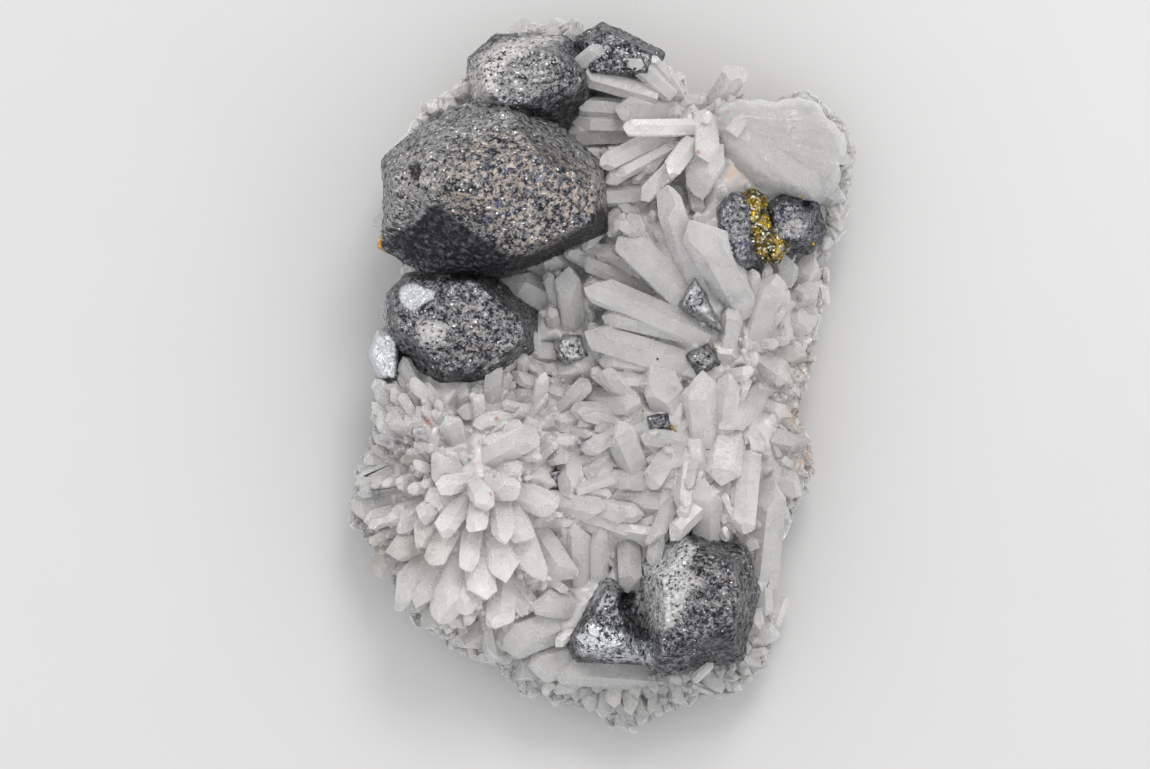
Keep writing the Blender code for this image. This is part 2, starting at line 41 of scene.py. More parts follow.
fullTurn = 2 * math.pi
waveCount = 7  # sines in each set of waves
print("frame loaded")


def unit(vectors):
    # each vector divided by its own length
    return vectors / np.linalg.norm(vectors, axis=-1, keepdims=True)


def direction(azimuth, elevation):
    # (cos elevation * cos azimuth, cos elevation * sin azimuth, sin elevation), angles in radians
    flat = np.cos(elevation)
    return np.stack([flat * np.cos(azimuth), flat * np.sin(azimuth), np.sin(elevation)], axis=-1)


def evenAngles(count):
    # a whole turn in equal steps, without its end
    return np.arange(count) * fullTurn / count


def waves(points, seed, wavelength):
    # mean of seeded sines that cross the points in all directions: sum(sin(k . p + phase)) / count
    draw = np.random.default_rng(seed)
    heading = unit(draw.normal(size=(waveCount, 3))) * fullTurn / wavelength
    phase = draw.uniform(0, fullTurn, waveCount)
    return np.sin(points @ heading.T + phase).mean(axis=1)


def waveSum(points, rows):
    # sum of amount * waves over rows of amount, seed and wavelength
    return sum(amount * waves(points, seed, wavelength) for amount, seed, wavelength in rows)


hashMix = {
    "cell": (0x9E3779B1, 0x85EBCA77, 0xC2B2AE3D), "salt": 668265263, "stir": (0x2C1B3C6D, 0x297A2D39),
    "fold": (15, 13, 16), "largest": 0xFFFFFFFF,
}


def cellRandom(cell, salt):
    # a number from 0 to 1 for each whole-number cell: its three numbers are multiplied, folded and stirred
    early, late, last = (np.uint32(bits) for bits in hashMix["fold"])
    numbers = cell.astype(np.uint32)
    mixed = np.full(numbers.shape[:-1], (hashMix["salt"] * (salt + 1)) & hashMix["largest"], dtype=np.uint32)
    for axis, factor in enumerate(hashMix["cell"]):
        mixed = mixed ^ (numbers[..., axis] * np.uint32(factor))
        mixed = (mixed ^ (mixed >> early)) * np.uint32(hashMix["stir"][0])
    mixed = (mixed ^ (mixed >> late)) * np.uint32(hashMix["stir"][1])
    return (mixed ^ (mixed >> last)) / float(hashMix["largest"])


def nearCells(points, size, salt):
    # for each of the 27 cells round a point: offset from the cell's seed, lean from -0.5 to 0.5, and level
    grid = points / size
    base = np.floor(grid).astype(np.int64)
    for step in itertools.product((-1, 0, 1), repeat=3):
        near = base + np.array(step)
        seed, lean = (np.stack([cellRandom(near, salt + k + axis) for axis in range(3)], axis=1) for k in (0, 3))
        yield grid - near - seed, lean - 0.5, cellRandom(near, salt + 6)


def cellFacets(points, size, salt, tilt):
    # each point takes the nearest of one seed per cell: height = seed's level + tilt * (lean . offset from the seed)
    best = np.full(len(points), np.inf)
    height = np.zeros(len(points))
    for away, lean, level in nearCells(points, size, salt):
        distance = (away**2).sum(axis=1)
        value = tilt * (away * lean).sum(axis=1) + level - 0.5
        height = np.where(distance < best, value, height)
        best = np.minimum(distance, best)
    return height * size


def cellBlocks(points, size, salt, steep):
    # the highest of one small block per cell: height = level / 2 - steep * largest coordinate of the leaning offset
    height = np.full(len(points), -np.inf)
    for away, lean, level in nearCells(points, size, salt):
        across = np.abs(away + lean * np.roll(away, 1, axis=1)).max(axis=1)
        height = np.maximum(height, 0.5 * level - steep * across)
    return height * size


def hump(x, y, row):
    # rise * exp(-(distance / radius) ^ 2) for a row of x, y, rise and radius
    spotX, spotY, rise, radius = row
    return rise * np.exp(-((x - spotX) ** 2 + (y - spotY) ** 2) / radius**2)


def patch(points, x, y, halfX, halfY):
    # 1 in an oval seen from above, 0 outside it: exp(-((dx / half width) ^ 2 + (dy / half height) ^ 2) ^ 2)
    across = ((points[:, 0] - x) / halfX) ** 2 + ((points[:, 1] - y) / halfY) ** 2
    return np.exp(-across**2)


def addObject(name, data):
    # a new object at the origin, linked to the scene
    made = bpy.data.objects.new(name, data)
    bpy.context.scene.collection.objects.link(made)
    return made


def makePiece(name, points, faceGroups, material, smooth=True, values=None):
    # points in millimetres; faceGroups is a list of whole-number arrays, one row of corners for each face
    mesh = bpy.data.meshes.new(name)
    corners = np.concatenate([group.ravel() for group in faceGroups]).astype(np.int32)
    sizes = np.concatenate([np.full(len(group), group.shape[1]) for group in faceGroups])
    starts = np.concatenate([[0], np.cumsum(sizes)[:-1]]).astype(np.int32)
    mesh.vertices.add(len(points))
    mesh.vertices.foreach_set("co", (points * mm).astype(np.float32).ravel())
    mesh.loops.add(len(corners))
    mesh.loops.foreach_set("vertex_index", corners)
    mesh.polygons.add(len(sizes))
    mesh.polygons.foreach_set("loop_start", starts)
    mesh.polygons.foreach_set("use_smooth", np.full(len(sizes), smooth))
    mesh.update(calc_edges=True)
    for key, value in (values or {}).items():
        mesh.attributes.new(key, "FLOAT", "POINT").data.foreach_set("value", value.astype(np.float32))
    mesh.materials.append(material)
    piece = addObject(name, mesh)
    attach(piece, "root")
    return piece


def joinSurfaces(surfaces):
    # all points in one array, and all faces in one, each surface's numbers raised by the points before it
    starts = np.cumsum([0] + [len(points) for points, _ in surfaces[:-1]])
    return (np.concatenate([points for points, _ in surfaces]),
            np.concatenate([quads + start for (_, quads), start in zip(surfaces, starts)]))


def feed(tree, node, values):
    # each value, a number or another node's output, goes to the node's input of that name or number
    for key, value in values.items():
        if isinstance(value, bpy.types.NodeSocket):
            tree.links.new(value, node.inputs[key])
        else:
            node.inputs[key].default_value = value


def addNode(tree, kind, inputs, **settings):
    # a node with its settings made first, then its inputs
    made = tree.nodes.new(kind)
    for key, value in settings.items():
        setattr(made, key, value)
    feed(tree, made, inputs)
    return made


def mathNode(tree, operation, *values):
    # the operation's result for one to three values
    return addNode(tree, "ShaderNodeMath", dict(enumerate(values)), operation=operation).outputs[0]


def vectorNode(tree, operation, *values, output=0):
    # the same for vectors; a distance comes from output 1
    return addNode(tree, "ShaderNodeVectorMath", dict(enumerate(values)), operation=operation).outputs[output]


def mixColour(tree, share, first, second):
    # first * (1 - share) + second * share
    first, second = (end if isinstance(end, bpy.types.NodeSocket) else (*end, 1.0) for end in (first, second))
    inputs = {0: share, 6: first, 7: second}
    return addNode(tree, "ShaderNodeMix", inputs, data_type="RGBA", clamp_factor=True).outputs[2]


def ramp(tree, value, low, high, toLow=0.0, toHigh=1.0):
    # smoothstep of the value from low to high, as a number from toLow to toHigh
    return addNode(tree, "ShaderNodeMapRange", {
        "Value": value, "From Min": low, "From Max": high, "To Min": toLow, "To Max": toHigh,
    }, interpolation_type="SMOOTHSTEP").outputs[0]


def noiseNode(tree, place, scale, detail, roughness=0.5):
    # noise from 0 to 1 at the place
    inputs = {"Vector": place, "Scale": scale, "Detail": detail, "Roughness": roughness}
    return addNode(tree, "ShaderNodeTexNoise", inputs).outputs[0]


def bumpNode(tree, strength, depth, height, **others):
    # a normal that leans with the slope of the height, which stands for the depth in millimetres
    inputs = {"Strength": strength, "Distance": depth * mm, "Height": height, **others}
    return addNode(tree, "ShaderNodeBump", inputs).outputs[0]


def newGroup(name, inputs, outputs):
    # each socket's start value by name, None for a vector; gives the tree, the group's inputs and its last node
    tree = bpy.data.node_groups.new(name, "ShaderNodeTree")
    for side, sockets in (("INPUT", inputs), ("OUTPUT", outputs)):
        for label, start in sockets.items():
            kind = "NodeSocketVector" if start is None else "NodeSocketFloat"
            socket = tree.interface.new_socket(label, in_out=side, socket_type=kind)
            if start is not None:
                socket.default_value = start
    return tree, tree.nodes.new("NodeGroupInput").outputs, tree.nodes.new("NodeGroupOutput")


def makeGlintGroup():
    # small cells bulge by 1 - distance and lean on their own: normal = unit(bulged normal + lean * (random colour
    # - 0.5))
    tree, given, result = newGroup(
        "crystalGlints", {"Vector": None, "Scale": 3000.0, "Lean": 0.6, "Bulge": 0.5},
        {"Normal": None, "Cell": 0.0, "Other": 0.0},
    )
    cells = addNode(tree, "ShaderNodeTexVoronoi", {"Vector": given["Vector"], "Scale": given["Scale"]}).outputs
    centred = vectorNode(tree, "SUBTRACT", cells["Color"], (0.5, 0.5, 0.5))
    lean = addNode(tree, "ShaderNodeVectorMath", {0: centred, "Scale": given["Lean"]}, operation="SCALE").outputs[0]
    bulge = bumpNode(tree, given["Bulge"], 0.12, mathNode(tree, "SUBTRACT", 1.0, cells["Distance"]))
    split = addNode(tree, "ShaderNodeSeparateColor", {0: cells["Color"]}).outputs
    leaning = vectorNode(tree, "NORMALIZE", vectorNode(tree, "ADD", bulge, lean))
    feed(tree, result, {"Normal": leaning, "Cell": split[0], "Other": split[1]})
    return tree


def makeMottleGroup():
    # soft cloudy mask: noise between Low and High stretched to 0 and 1
    tree, given, result = newGroup(
        "mottle", {"Vector": None, "Scale": 300.0, "Low": 0.4, "High": 0.6}, {"Mask": 0.0},
    )
    noise = noiseNode(tree, given["Vector"], given["Scale"], 5.0, 0.6)
    feed(tree, result, {"Mask": ramp(tree, noise, given["Low"], given["High"])})
    return tree


# Stains of the quartz, as x, y, radius, and how strong: brown iron, thin grey sulfide, red and pink dust
stains = {
    "ironStain": [
        (34.5, -6.5, 5.0, 0.8), (33.5, 2.0, 4.0, 0.5), (-38.0, -30.0, 5.0, 0.45), (-36.5, 23.0, 1.6, 1.0),
        (22.5, 33.8, 3.0, 0.5), (-30.0, -29.0, 5.0, 0.4), (35.0, -14.0, 4.0, 0.6), (-33.0, -12.0, 5.0, 0.35),
    ],
    "sulfideFilm": [
        (-33.5, -11.0, 3.2, 0.8), (-30.0, -9.5, 2.4, 0.7), (-37.5, -19.0, 2.0, 0.8), (-28.0, -14.0, 1.8, 0.5),
        (33.3, 13.3, 0.9, 1.0), (-3.4, -10.8, 1.4, 0.9), (1.8, -32.0, 1.2, 0.9), (21.5, 12.6, 2.8, 0.6),
        (12.0, -2.0, 1.2, 0.5), (-7.5, -8.0, 1.6, 0.5), (9.5, -8.5, 2.6, 0.6), (-1.0, -38.0, 1.6, 0.6),
    ],
    "redDust": [
        (19.2, 44.2, 0.9, 0.8), (20.0, 42.7, 0.8, 0.9), (21.2, 44.2, 0.7, 0.8), (16.3, 37.5, 0.6, 1.0),
        (17.5, 18.8, 0.8, 0.7), (13.5, 15.3, 0.6, 1.0), (-17.2, -6.8, 0.6, 1.0), (-13.2, -6.7, 0.5, 1.0),
        (-17.3, -16.2, 0.7, 0.9), (-18.2, -19.2, 0.7, 0.9), (-28.8, -7.5, 1.7, 0.9), (-20.5, -14.0, 1.0, 0.5),
    ],
}
stainForm = {"core": 0.2, "noiseScale": 900.0, "noiseDetail": 4.0, "broken": (0.35, 0.6)}


def makeStainGroup(name, spots):
    # the strongest of round spots in plan: strength * smoothstep from the radius in to its core, broken up by noise
    tree, given, result = newGroup(name, {"Vector": None}, {"Mask": 0.0})
    noise = noiseNode(tree, given["Vector"], stainForm["noiseScale"], stainForm["noiseDetail"])
    flat = vectorNode(tree, "MULTIPLY", given["Vector"], (1, 1, 0))
    total = 0.0
    for x, y, radius, strength in spots:
        distance = vectorNode(tree, "DISTANCE", flat, (x * mm, y * mm, 0), output=1)
        spot = ramp(tree, distance, radius * mm, stainForm["core"] * radius * mm, 0.0, strength)
        total = mathNode(tree, "MAXIMUM", total, spot)
    feed(tree, result, {"Mask": mathNode(tree, "MULTIPLY", total, ramp(tree, noise, *stainForm["broken"]))})
    return tree


glintGroup = makeGlintGroup()
mottleGroup = makeMottleGroup()
stainGroups = {name: makeStainGroup(name, spots) for name, spots in stains.items()}


def groupNode(tree, group, inputs):
    # the outputs of a node that holds the group
    return addNode(tree, "ShaderNodeGroup", inputs, node_tree=group).outputs


def mottleMask(tree, place, scale, low, high):
    # the cloudy mask at the place
    return groupNode(tree, mottleGroup, {"Vector": place, "Scale": scale, "Low": low, "High": high})["Mask"]


def newMaterial(name):
    # a material with its tree, its shader and the place on the object
    made = bpy.data.materials.new(name)
    made.use_nodes = True
    tree = made.node_tree
    return made, tree, tree.nodes["Principled BSDF"], tree.nodes.new("ShaderNodeTexCoord").outputs["Object"]


def readValue(tree, name):
    # the piece's own value of that name at each point
    return addNode(tree, "ShaderNodeAttribute", {}, attribute_name=name).outputs["Fac"]


quartzLook = {
    "white": (0.985, 0.955, 0.93), "grey": (0.56, 0.549, 0.534), "warm": (0.92, 0.87, 0.82),
    # near black for the rock between the crystals: painted shade of the recesses
    "paintedRecessShade": (0.02, 0.019, 0.018),
    "ironStain": (0.42, 0.26, 0.13), "sulfideFilm": (0.16, 0.16, 0.18), "redDust": (0.50, 0.17, 0.13),
    "milky": {"grey": 0.9, "transmission": 0.65, "roughness": 0.2, "sheen": 0.5},
    "glassy": {"grey": 0.8, "transmission": 0.7, "roughness": 0.15, "sheen": 0.3},
    "rock": {"grey": 1.0, "transmission": 0.0, "roughness": 0.30, "sheen": 0.3, "paintedRecessShade": 0.52},
    "refraction": 1.54, "sheenRoughness": 0.6, "glossFrom": -0.07, "glossTo": 0.14,
    "clouds": (320.0, 0.38, 0.66), "cloudGrey": 0.25, "cloudRelief": 1.5,  # scale, low and high of the mask
    "finer": (1400.0, 0.35, 0.7), "finerWarm": 0.15,
    "lineScale": 60.0, "lineDetail": 3.0, "lineRelief": 0.5, "bump": 0.22, "bumpDepth": 0.14,
}


def quartzMaterial(name, kind):
    # white to grey by the crystal's tone + share * clouds, stained by the spots; the bump is clouds, finer clouds and
    # growth lines, which are noise of the place along the crystal
    look = quartzLook[kind]
    made, tree, shader, place = newMaterial(name)
    tone = readValue(tree, "tone")
    clouds = mottleMask(tree, place, *quartzLook["clouds"])
    finer = mottleMask(tree, place, *quartzLook["finer"])
    grey = mathNode(tree, "MULTIPLY_ADD", clouds, quartzLook["cloudGrey"], tone)
    colour = mixColour(tree, mathNode(tree, "MULTIPLY", grey, look["grey"]), quartzLook["white"], quartzLook["grey"])
    colour = mixColour(tree, mathNode(tree, "MULTIPLY", finer, quartzLook["finerWarm"]), colour, quartzLook["warm"])
    # painted shade of the recesses: the rock between the crystals is mixed towards near black by the rock's share
    if "paintedRecessShade" in look:
        colour = mixColour(tree, look["paintedRecessShade"], colour, quartzLook["paintedRecessShade"])
    for stain, group in stainGroups.items():
        colour = mixColour(tree, groupNode(tree, group, {"Vector": place})["Mask"], colour, quartzLook[stain])
    inCrystal = addNode(tree, "ShaderNodeCombineXYZ", {"X": readValue(tree, "along"), "Y": tone}).outputs[0]
    lines = noiseNode(tree, inCrystal, quartzLook["lineScale"], quartzLook["lineDetail"])
    relief = mathNode(tree, "MULTIPLY_ADD", lines, quartzLook["lineRelief"], finer)
    relief = mathNode(tree, "MULTIPLY_ADD", clouds, quartzLook["cloudRelief"], relief)
    glossFrom, glossTo = look["roughness"] + quartzLook["glossFrom"], look["roughness"] + quartzLook["glossTo"]
    feed(tree, shader, {
        "Base Color": colour, "Roughness": ramp(tree, clouds, 0.0, 1.0, glossFrom, glossTo),
        "Normal": bumpNode(tree, quartzLook["bump"], quartzLook["bumpDepth"], relief),
        "IOR": quartzLook["refraction"], "Transmission Weight": look["transmission"],
        "Sheen Weight": look["sheen"], "Sheen Roughness": quartzLook["sheenRoughness"],
    })
    return made


milkyQuartz = quartzMaterial("milkyQuartz", "milky")
glassyQuartz = quartzMaterial("glassyQuartz", "glassy")
quartzRock = quartzMaterial("quartzRock", "rock")
print("quartz finishes ready")


body = {
    "centre": (0.0, -2.0), "edgeHeight": 8.0, "waistHeight": 6.0, "crownHeight": 19.0,
    "foot": 0.84, "footInner": 0.15, "rounding": 2.6, "flare": 0.9, "ringSpacing": 1.35, "moundFade": 2.5, "sunk": 0.8,
    "sectors": 380, "ringsUnder": 4, "ringsSide": 12, "ringsTop": 112,
    "waves": [(0.8, 5, 9.0), (0.6, 6, 4.5)],  # amount, seed, wavelength
    "blocks": (2.2, 11, 0.9), "blockAmount": 0.6, "facets": (1.2, 21, 1.4), "facetAmount": 0.5,
    "calm": 0.4, "calmShare": 0.8, "calmFade": 0.15, "calmHeight": 2.0,  # the middle and the foot are less rough
    "grey": 0.1, "greyWaves": [(0.1, 31, 14.0)], "alongScale": 20.0,
    "reach": [  # every 10 degrees from +X anticlockwise
        32.5, 34.5, 38, 42, 50.5, 57, 53.5, 51, 49, 54, 56, 54,
        51, 47, 44, 38, 36.5, 35, 35.5, 35.5, 43, 45, 45, 47,
        48, 48, 50, 52, 54, 52, 52, 44, 38, 36, 36.5, 32.5,
    ],
    "mounds": [  # x, y, height, radius
        (17, 42, 13, 10), (31, 40, 9, 10), (19, 12, 4, 11), (-19, -18, 8, 12), (-25, -31, 4, 9),
        (-3, -42, 3, 9), (24, -18, 4, 9), (30, 8, 2, 8), (-4, -29, -4, 5), (-6, 0, -2, 7),
    ],
    "fills": [  # milky mass between the crystals: x, y, rise, radius
        (-25, -18, 5.0, 8), (-19, -26, 4.2, 7), (-28, -29, 3.0, 6), (6, 38, 3.0, 8), (3, 24, 2.8, 8), (-4, -17, 2.6, 8),
        (16, -5, 2.4, 9), (30, 2, 1.8, 8), (18, 12, 2.0, 7), (-14, -8, 2.2, 6), (2, 46, 2.6, 6), (-6, -45, 2.0, 8),
    ],
}


def reachAt(table, angle):
    # distances given at equal steps of a turn, joined by straight parts
    stations = np.arange(len(table) + 1) * fullTurn / len(table)
    return np.interp(np.mod(angle, fullTurn), stations, table + table[:1])


def bodyShare(x, y):
    # distance from the body's centre / reach of the body in that direction
    dx, dy = x - body["centre"][0], y - body["centre"][1]
    return np.hypot(dx, dy) / reachAt(body["reach"], np.arctan2(dy, dx))


def bodyHeight(x, y):
    # edge + (crown - edge) * fall + mounds, with fall = sqrt(1 - share ^ rounding) and share = distance / reach
    fall = np.sqrt(1 - np.minimum(bodyShare(x, y), 1.0) ** body["rounding"])
    height = body["edgeHeight"] + (body["crownHeight"] - body["edgeHeight"]) * fall
    for mound in body["mounds"]:
        height = height + hump(x, y, mound) * np.minimum(1, body["moundFade"] * fall)
    return height


# The specimen's outline seen from above, as angle in degrees and distance from the body's centre
outline = [
    (0, 33.7), (8, 36), (15.5, 37.5), (24, 40.9), (30, 44), (38.7, 53), (43, 58.6), (49, 60.7), (55, 60.4), (61, 55.6),
    (66.7, 57), (70, 53), (75, 52.5), (80, 57), (85, 59), (90, 61.3), (95, 61.6), (100, 62), (105, 60.3), (108, 59.2),
    (112.3, 57.3), (114, 56.2), (117, 55), (120, 55.2), (121.5, 56.1), (123, 55.2), (124.5, 53.3), (127, 52.4),
    (130, 52.3), (134.6, 50.3), (137, 48), (148, 39.3), (158.6, 40), (169, 37.7),
    (180, 38), (189, 38), (195, 40.9), (200, 44), (207, 47.9), (213, 46.4), (221, 46.9), (228, 49.6), (236, 49.8),
    (243, 50), (250, 49.7), (255, 52.5), (261, 52.7), (270, 54), (274, 58.5), (278, 57), (288, 54.3), (294, 56),
    (301, 54.3), (306, 52), (307.5, 44), (318, 39.6), (331, 37.75), (341, 38.3), (351, 33.4), (360, 33.7),
]


def outlineReach(angle):
    # the outline's distances joined by straight parts
    stations, distances = zip(*outline)
    return np.interp(np.mod(angle, fullTurn), np.radians(stations), distances)


# Where the quartz is whitest: x, y, radius, how white; elsewhere it has the plain greyness
whiteness = {
    "plain": 0.62,
    "spots": [
        (-20, -20, 17, 0.55), (-20, -36, 9, 0.4), (12, 43, 12, 0.3), (20, -4, 10, 0.25), (27, -25, 9, 0.25),
        (-26, 45, 8, 0.3), (4, -57, 9, -0.8), (26, -49, 6, -0.2), (-14, -50, 7, -0.2), (2, 12, 9, -0.15),
        (37, -16, 9, -0.4), (12, -55, 9, -0.3), (-36, -36, 9, -0.25), (40, 30, 6, -0.2),
    ],
}


def greyness(points):
    # plain greyness less the whiteness of each spot, which is how white * its oval patch
    spots = sum(strength * patch(points, x, y, radius, radius) for x, y, radius, strength in whiteness["spots"])
    return np.maximum(whiteness["plain"] - spots, 0)


def domeGrid(centre, reach, shares, levels):
    # rings of points at shares of the reach in every direction; levels is a function of x and y that gives z
    angle = evenAngles(len(reach))
    x = centre[0] + np.outer(shares, reach * np.cos(angle))
    y = centre[1] + np.outer(shares, reach * np.sin(angle))
    grid = np.stack([x, y, levels(x, y)], axis=2)
    acrossSectors = np.roll(grid, -1, axis=1) - np.roll(grid, 1, axis=1)
    normal = unit(np.cross(acrossSectors, np.gradient(grid, axis=0)) + 1e-9)  # so that none has length 0
    return grid.reshape(-1, 3), normal.reshape(-1, 3)


def domeFaces(rings, sectors):
    # quads between the rings, and a fan of triangles at the foot and at the crown, whose points follow the grid's
    ring, sector = np.meshgrid(np.arange(rings - 1), np.arange(sectors), indexing="ij")
    after = (sector + 1) % sectors
    quads = np.stack([ring * sectors + sector, ring * sectors + after,
                      (ring + 1) * sectors + after, (ring + 1) * sectors + sector], axis=2).reshape(-1, 4)
    index, last = np.arange(sectors), (rings - 1) * sectors
    following = (index + 1) % sectors
    foot = np.stack([following, index, np.full(sectors, rings * sectors)], axis=1)
    crown = np.stack([last + index, last + following, np.full(sectors, rings * sectors + 1)], axis=1)
    return [quads, foot, crown]


def bodySurface():
    # rings at shares of the reach: the flat foot, the flared side, then over the rim to the crown; each point moves
    # along its normal by waves, blocks and facets
    sectors = body["sectors"]
    under = np.linspace(body["footInner"], 1.0, body["ringsUnder"]) * body["foot"]
    side = np.linspace(0, 1, body["ringsSide"] + 1)[1:]
    sideShare = body["foot"] + (1 - body["foot"]) * np.sin(side * math.pi / 2) ** body["flare"]
    top = 1 - np.linspace(0, 1, body["ringsTop"] + 1)[:-1] ** body["ringSpacing"]
    shares = np.concatenate([under, sideShare, top])

    def levels(x, y):
        z = webbedHeight(x, y)
        z[: len(under)] = 0.0
        z[len(under): len(under) + len(side)] = (side * body["waistHeight"])[:, None]
        return z

    reach = reachAt(body["reach"], evenAngles(sectors))
    points, normal = domeGrid(body["centre"], reach, shares, levels)
    rough = waveSum(points, body["waves"]) + body["facetAmount"] * cellFacets(points, *body["facets"])
    rough = rough + body["blockAmount"] * (cellBlocks(points, *body["blocks"]) + 0.5)
    outer = np.clip((bodyShare(points[:, 0], points[:, 1]) - body["calmShare"]) / body["calmFade"], 0, 1)
    amount = (body["calm"] + (1 - body["calm"]) * outer) * np.minimum(points[:, 2] / body["calmHeight"], 1.0)
    points = points + normal * (rough * amount)[:, None]
    crown = points[-sectors:, 2].mean()
    points = np.concatenate([points, [[*body["centre"], 0.0]], [[*body["centre"], crown]]])
    tone = body["grey"] + greyness(points) + waveSum(points, body["greyWaves"])
    return points, domeFaces(len(shares), sectors), {"tone": tone, "along": points[:, 2] / body["alongScale"]}


# centre, sides (azimuth, reach in plan, lean above, lean below), caps (azimuth, elevation, reach), top, bottom
lobes = {
    "large": {
        "centre": (-17.5, 31.8, 26), "top": 16.5, "bottom": 16,
        "sides": [
            (180, 18.8, 14, 22), (130, 15.6, 22, 25), (112, 14.6, 24, 25), (52, 14.4, 22, 22),
            (3, 18.8, 14, 25), (-68, 14.4, 13, 25), (-95, 14.8, 18, 22), (-117, 17.6, 42, 22),
        ],
        "caps": [(100, 50, 14), (-60, 74, 15.4), (170, 62, 16.6), (15, 55, 17.5)],
    },
    "upper": {
        "centre": (-11.7, 49.4, 22), "top": 12, "bottom": 11,
        "sides": [
            (180, 10.3, 16, 25), (132, 9.8, 18, 25), (88, 7.9, 16, 25), (42, 9.6, 18, 25),
            (0, 10.4, 14, 25), (-45, 9.8, 24, 25), (-90, 8.4, 20, 25), (-135, 10, 18, 25),
        ],
        "caps": [(120, 60, 11.2), (-30, 52, 10.6)],
    },
    "top": {
        "centre": (2.6, 54.2, 19.5), "top": 8, "bottom": 7.5,
        "sides": [
            (64, 4, 12, 22), (-8, 7.8, 16, 22), (-90, 5, 12, 22), (188, 6.4, 14, 22), (122, 5.8, 14, 22),
        ],
        "caps": [(64, 60, 7.6)],
    },
    "middle": {
        "centre": (-23, 8.7, 18.5), "top": 11, "bottom": 9.5,
        "sides": [
            (180, 12.6, 16, 25), (-130, 10.2, 20, 25), (-92, 10.4, 20, 25), (-50, 11.8, 20, 25),
            (0, 12.7, 14, 25), (50, 10, 16, 25), (92, 9.4, 12, 25), (140, 13, 16, 25),
        ],
        "caps": [(150, 55, 11.6), (-100, 56, 10.4)],
    },
    "plate": {
        "centre": (-36.6, 3.6, 16.5), "top": 4.6, "bottom": 5,
        "sides": [(205, 2.2, 12, 20), (158, 2.6, 12, 20), (85, 4.6, 12, 20), (-85, 4.6, 12, 20), (0, 3.6, 12, 20)],
        "caps": [],
    },
    "lump": {
        "centre": (-35, -2.2, 15), "top": 4.6, "bottom": 4.5,
        "sides": [(180, 2.7, 15, 20), (120, 3.6, 15, 20), (60, 3.6, 15, 20), (0, 3.2, 15, 20), (-90, 3, 15, 20)],
        "caps": [(150, 50, 4.6)],
    },
    "rightA": {
        "centre": (22.8, 25, 20), "top": 8.5, "bottom": 8,
        "sides": [
            (180, 4.6, 14, 25), (135, 6.2, 16, 25), (80, 7, 14, 25), (0, 4.9, 20, 25),
            (-50, 7.4, 18, 25), (-90, 7.8, 16, 25), (-135, 6, 16, 25),
        ],
        "caps": [(200, 58, 8), (90, 58, 8.8)],
    },
    "rightB": {
        "centre": (32.1, 26, 18), "top": 7.4, "bottom": 7,
        "sides": [
            (180, 6.4, 24, 25), (120, 5.6, 16, 25), (75, 5.3, 18, 25), (15, 5.2, 18, 25),
            (-40, 5.6, 16, 25), (-90, 5.1, 18, 25), (-140, 6, 16, 25),
        ],
        "caps": [(30, 55, 7.2)],
    },
    "crustUpper": {
        "centre": (25.2, 28.6, 24.6), "top": 3.2, "bottom": 5,
        "sides": [
            (180, 3, 20, 20), (115, 2.5, 20, 20), (60, 2.7, 20, 20), (0, 2.8, 24, 20), (-60, 3.4, 20, 20),
            (-120, 3.2, 20, 20),
        ],
        "caps": [],
    },
    "crustMiddle": {
        "centre": (26.2, 24.8, 24.2), "top": 2.8, "bottom": 5,
        "sides": [(175, 2.8, 20, 20), (95, 3.2, 20, 20), (15, 2.9, 24, 20), (-85, 3.2, 20, 20)], "caps": [],
    },
    "crustLower": {
        "centre": (28.2, 21.7, 22.8), "top": 2.8, "bottom": 5,
        "sides": [(180, 3.7, 20, 20), (110, 2.6, 20, 20), (35, 3.5, 24, 20), (-35, 2.8, 20, 20), (-100, 2.3, 20, 20)],
        "caps": [],
    },
    "triangle": {
        "centre": (16.3, 12, 22), "top": 4, "bottom": 4,
        "sides": [(26, 2.2, 10, 15), (153, 3.1, 12, 15), (-121, 1.8, 14, 15)], "caps": [],
    },
    "smallCentre": {
        "centre": (-4.8, 5, 18.6), "top": 3.4, "bottom": 4,
        "sides": [(20, 2.6, 16, 20), (85, 2.5, 16, 20), (150, 2.7, 16, 20), (-145, 2.6, 18, 20), (-70, 2.6, 16, 20)],
        "caps": [(60, 55, 3.4)],
    },
    "smallRight": {
        "centre": (17.2, 3.1, 20.4), "top": 3.6, "bottom": 4,
        "sides": [(30, 2.2, 16, 20), (120, 2.2, 16, 20), (-150, 2.3, 16, 20), (-60, 2.2, 16, 20)], "caps": [],
    },
    "bottomMain": {
        "centre": (16.7, -38.2, 17), "top": 12.5, "bottom": 9,
        "sides": [
            (182, 9.8, 18, 25), (135, 12, 20, 25), (72, 11.6, 16, 25), (20, 10.6, 16, 25),
            (-14, 9.4, 18, 25), (-45, 11.8, 24, 25), (-80, 10.4, 24, 25), (-118, 12.8, 20, 25),
        ],
        "caps": [(110, 55, 12.8), (-40, 52, 12.2), (-120, 60, 13)],
    },
    "bottomLeft": {
        "centre": (0.8, -40.6, 16), "top": 9, "bottom": 8,
        "sides": [
            (90, 8.4, 22, 25), (150, 4.8, 16, 25), (205, 7.6, 18, 25), (-90, 7.2, 20, 25),
            (-55, 10.6, 18, 25), (0, 7.4, 26, 25), (55, 7.8, 22, 25),
        ],
        "caps": [(-120, 50, 8.4)],
    },
    "grainCentre": {
        "centre": (-7.3, -17, 20.8), "top": 2.6, "bottom": 2.6,
        "sides": [(0, 1.6, 12, 15), (100, 2.1, 14, 15), (180, 1.7, 12, 15), (-80, 2.1, 14, 15)], "caps": [],
    },
    "grainRight": {
        "centre": (9.8, -7.4, 19.4), "top": 2.6, "bottom": 2.4,
        "sides": [(10, 2, 12, 15), (100, 1.5, 12, 15), (190, 2, 12, 15), (-80, 1.5, 12, 15)], "caps": [],
    },
}
lobeForm = {
    "bluntness": 90, "lumpDepth": 0.05, "lumpWave": 0.9, "largestLumpy": 12.0, "upShift": 0.25,
    "blockLevel": 0.35, "blockSeed": 40, "seedStep": 10,
}


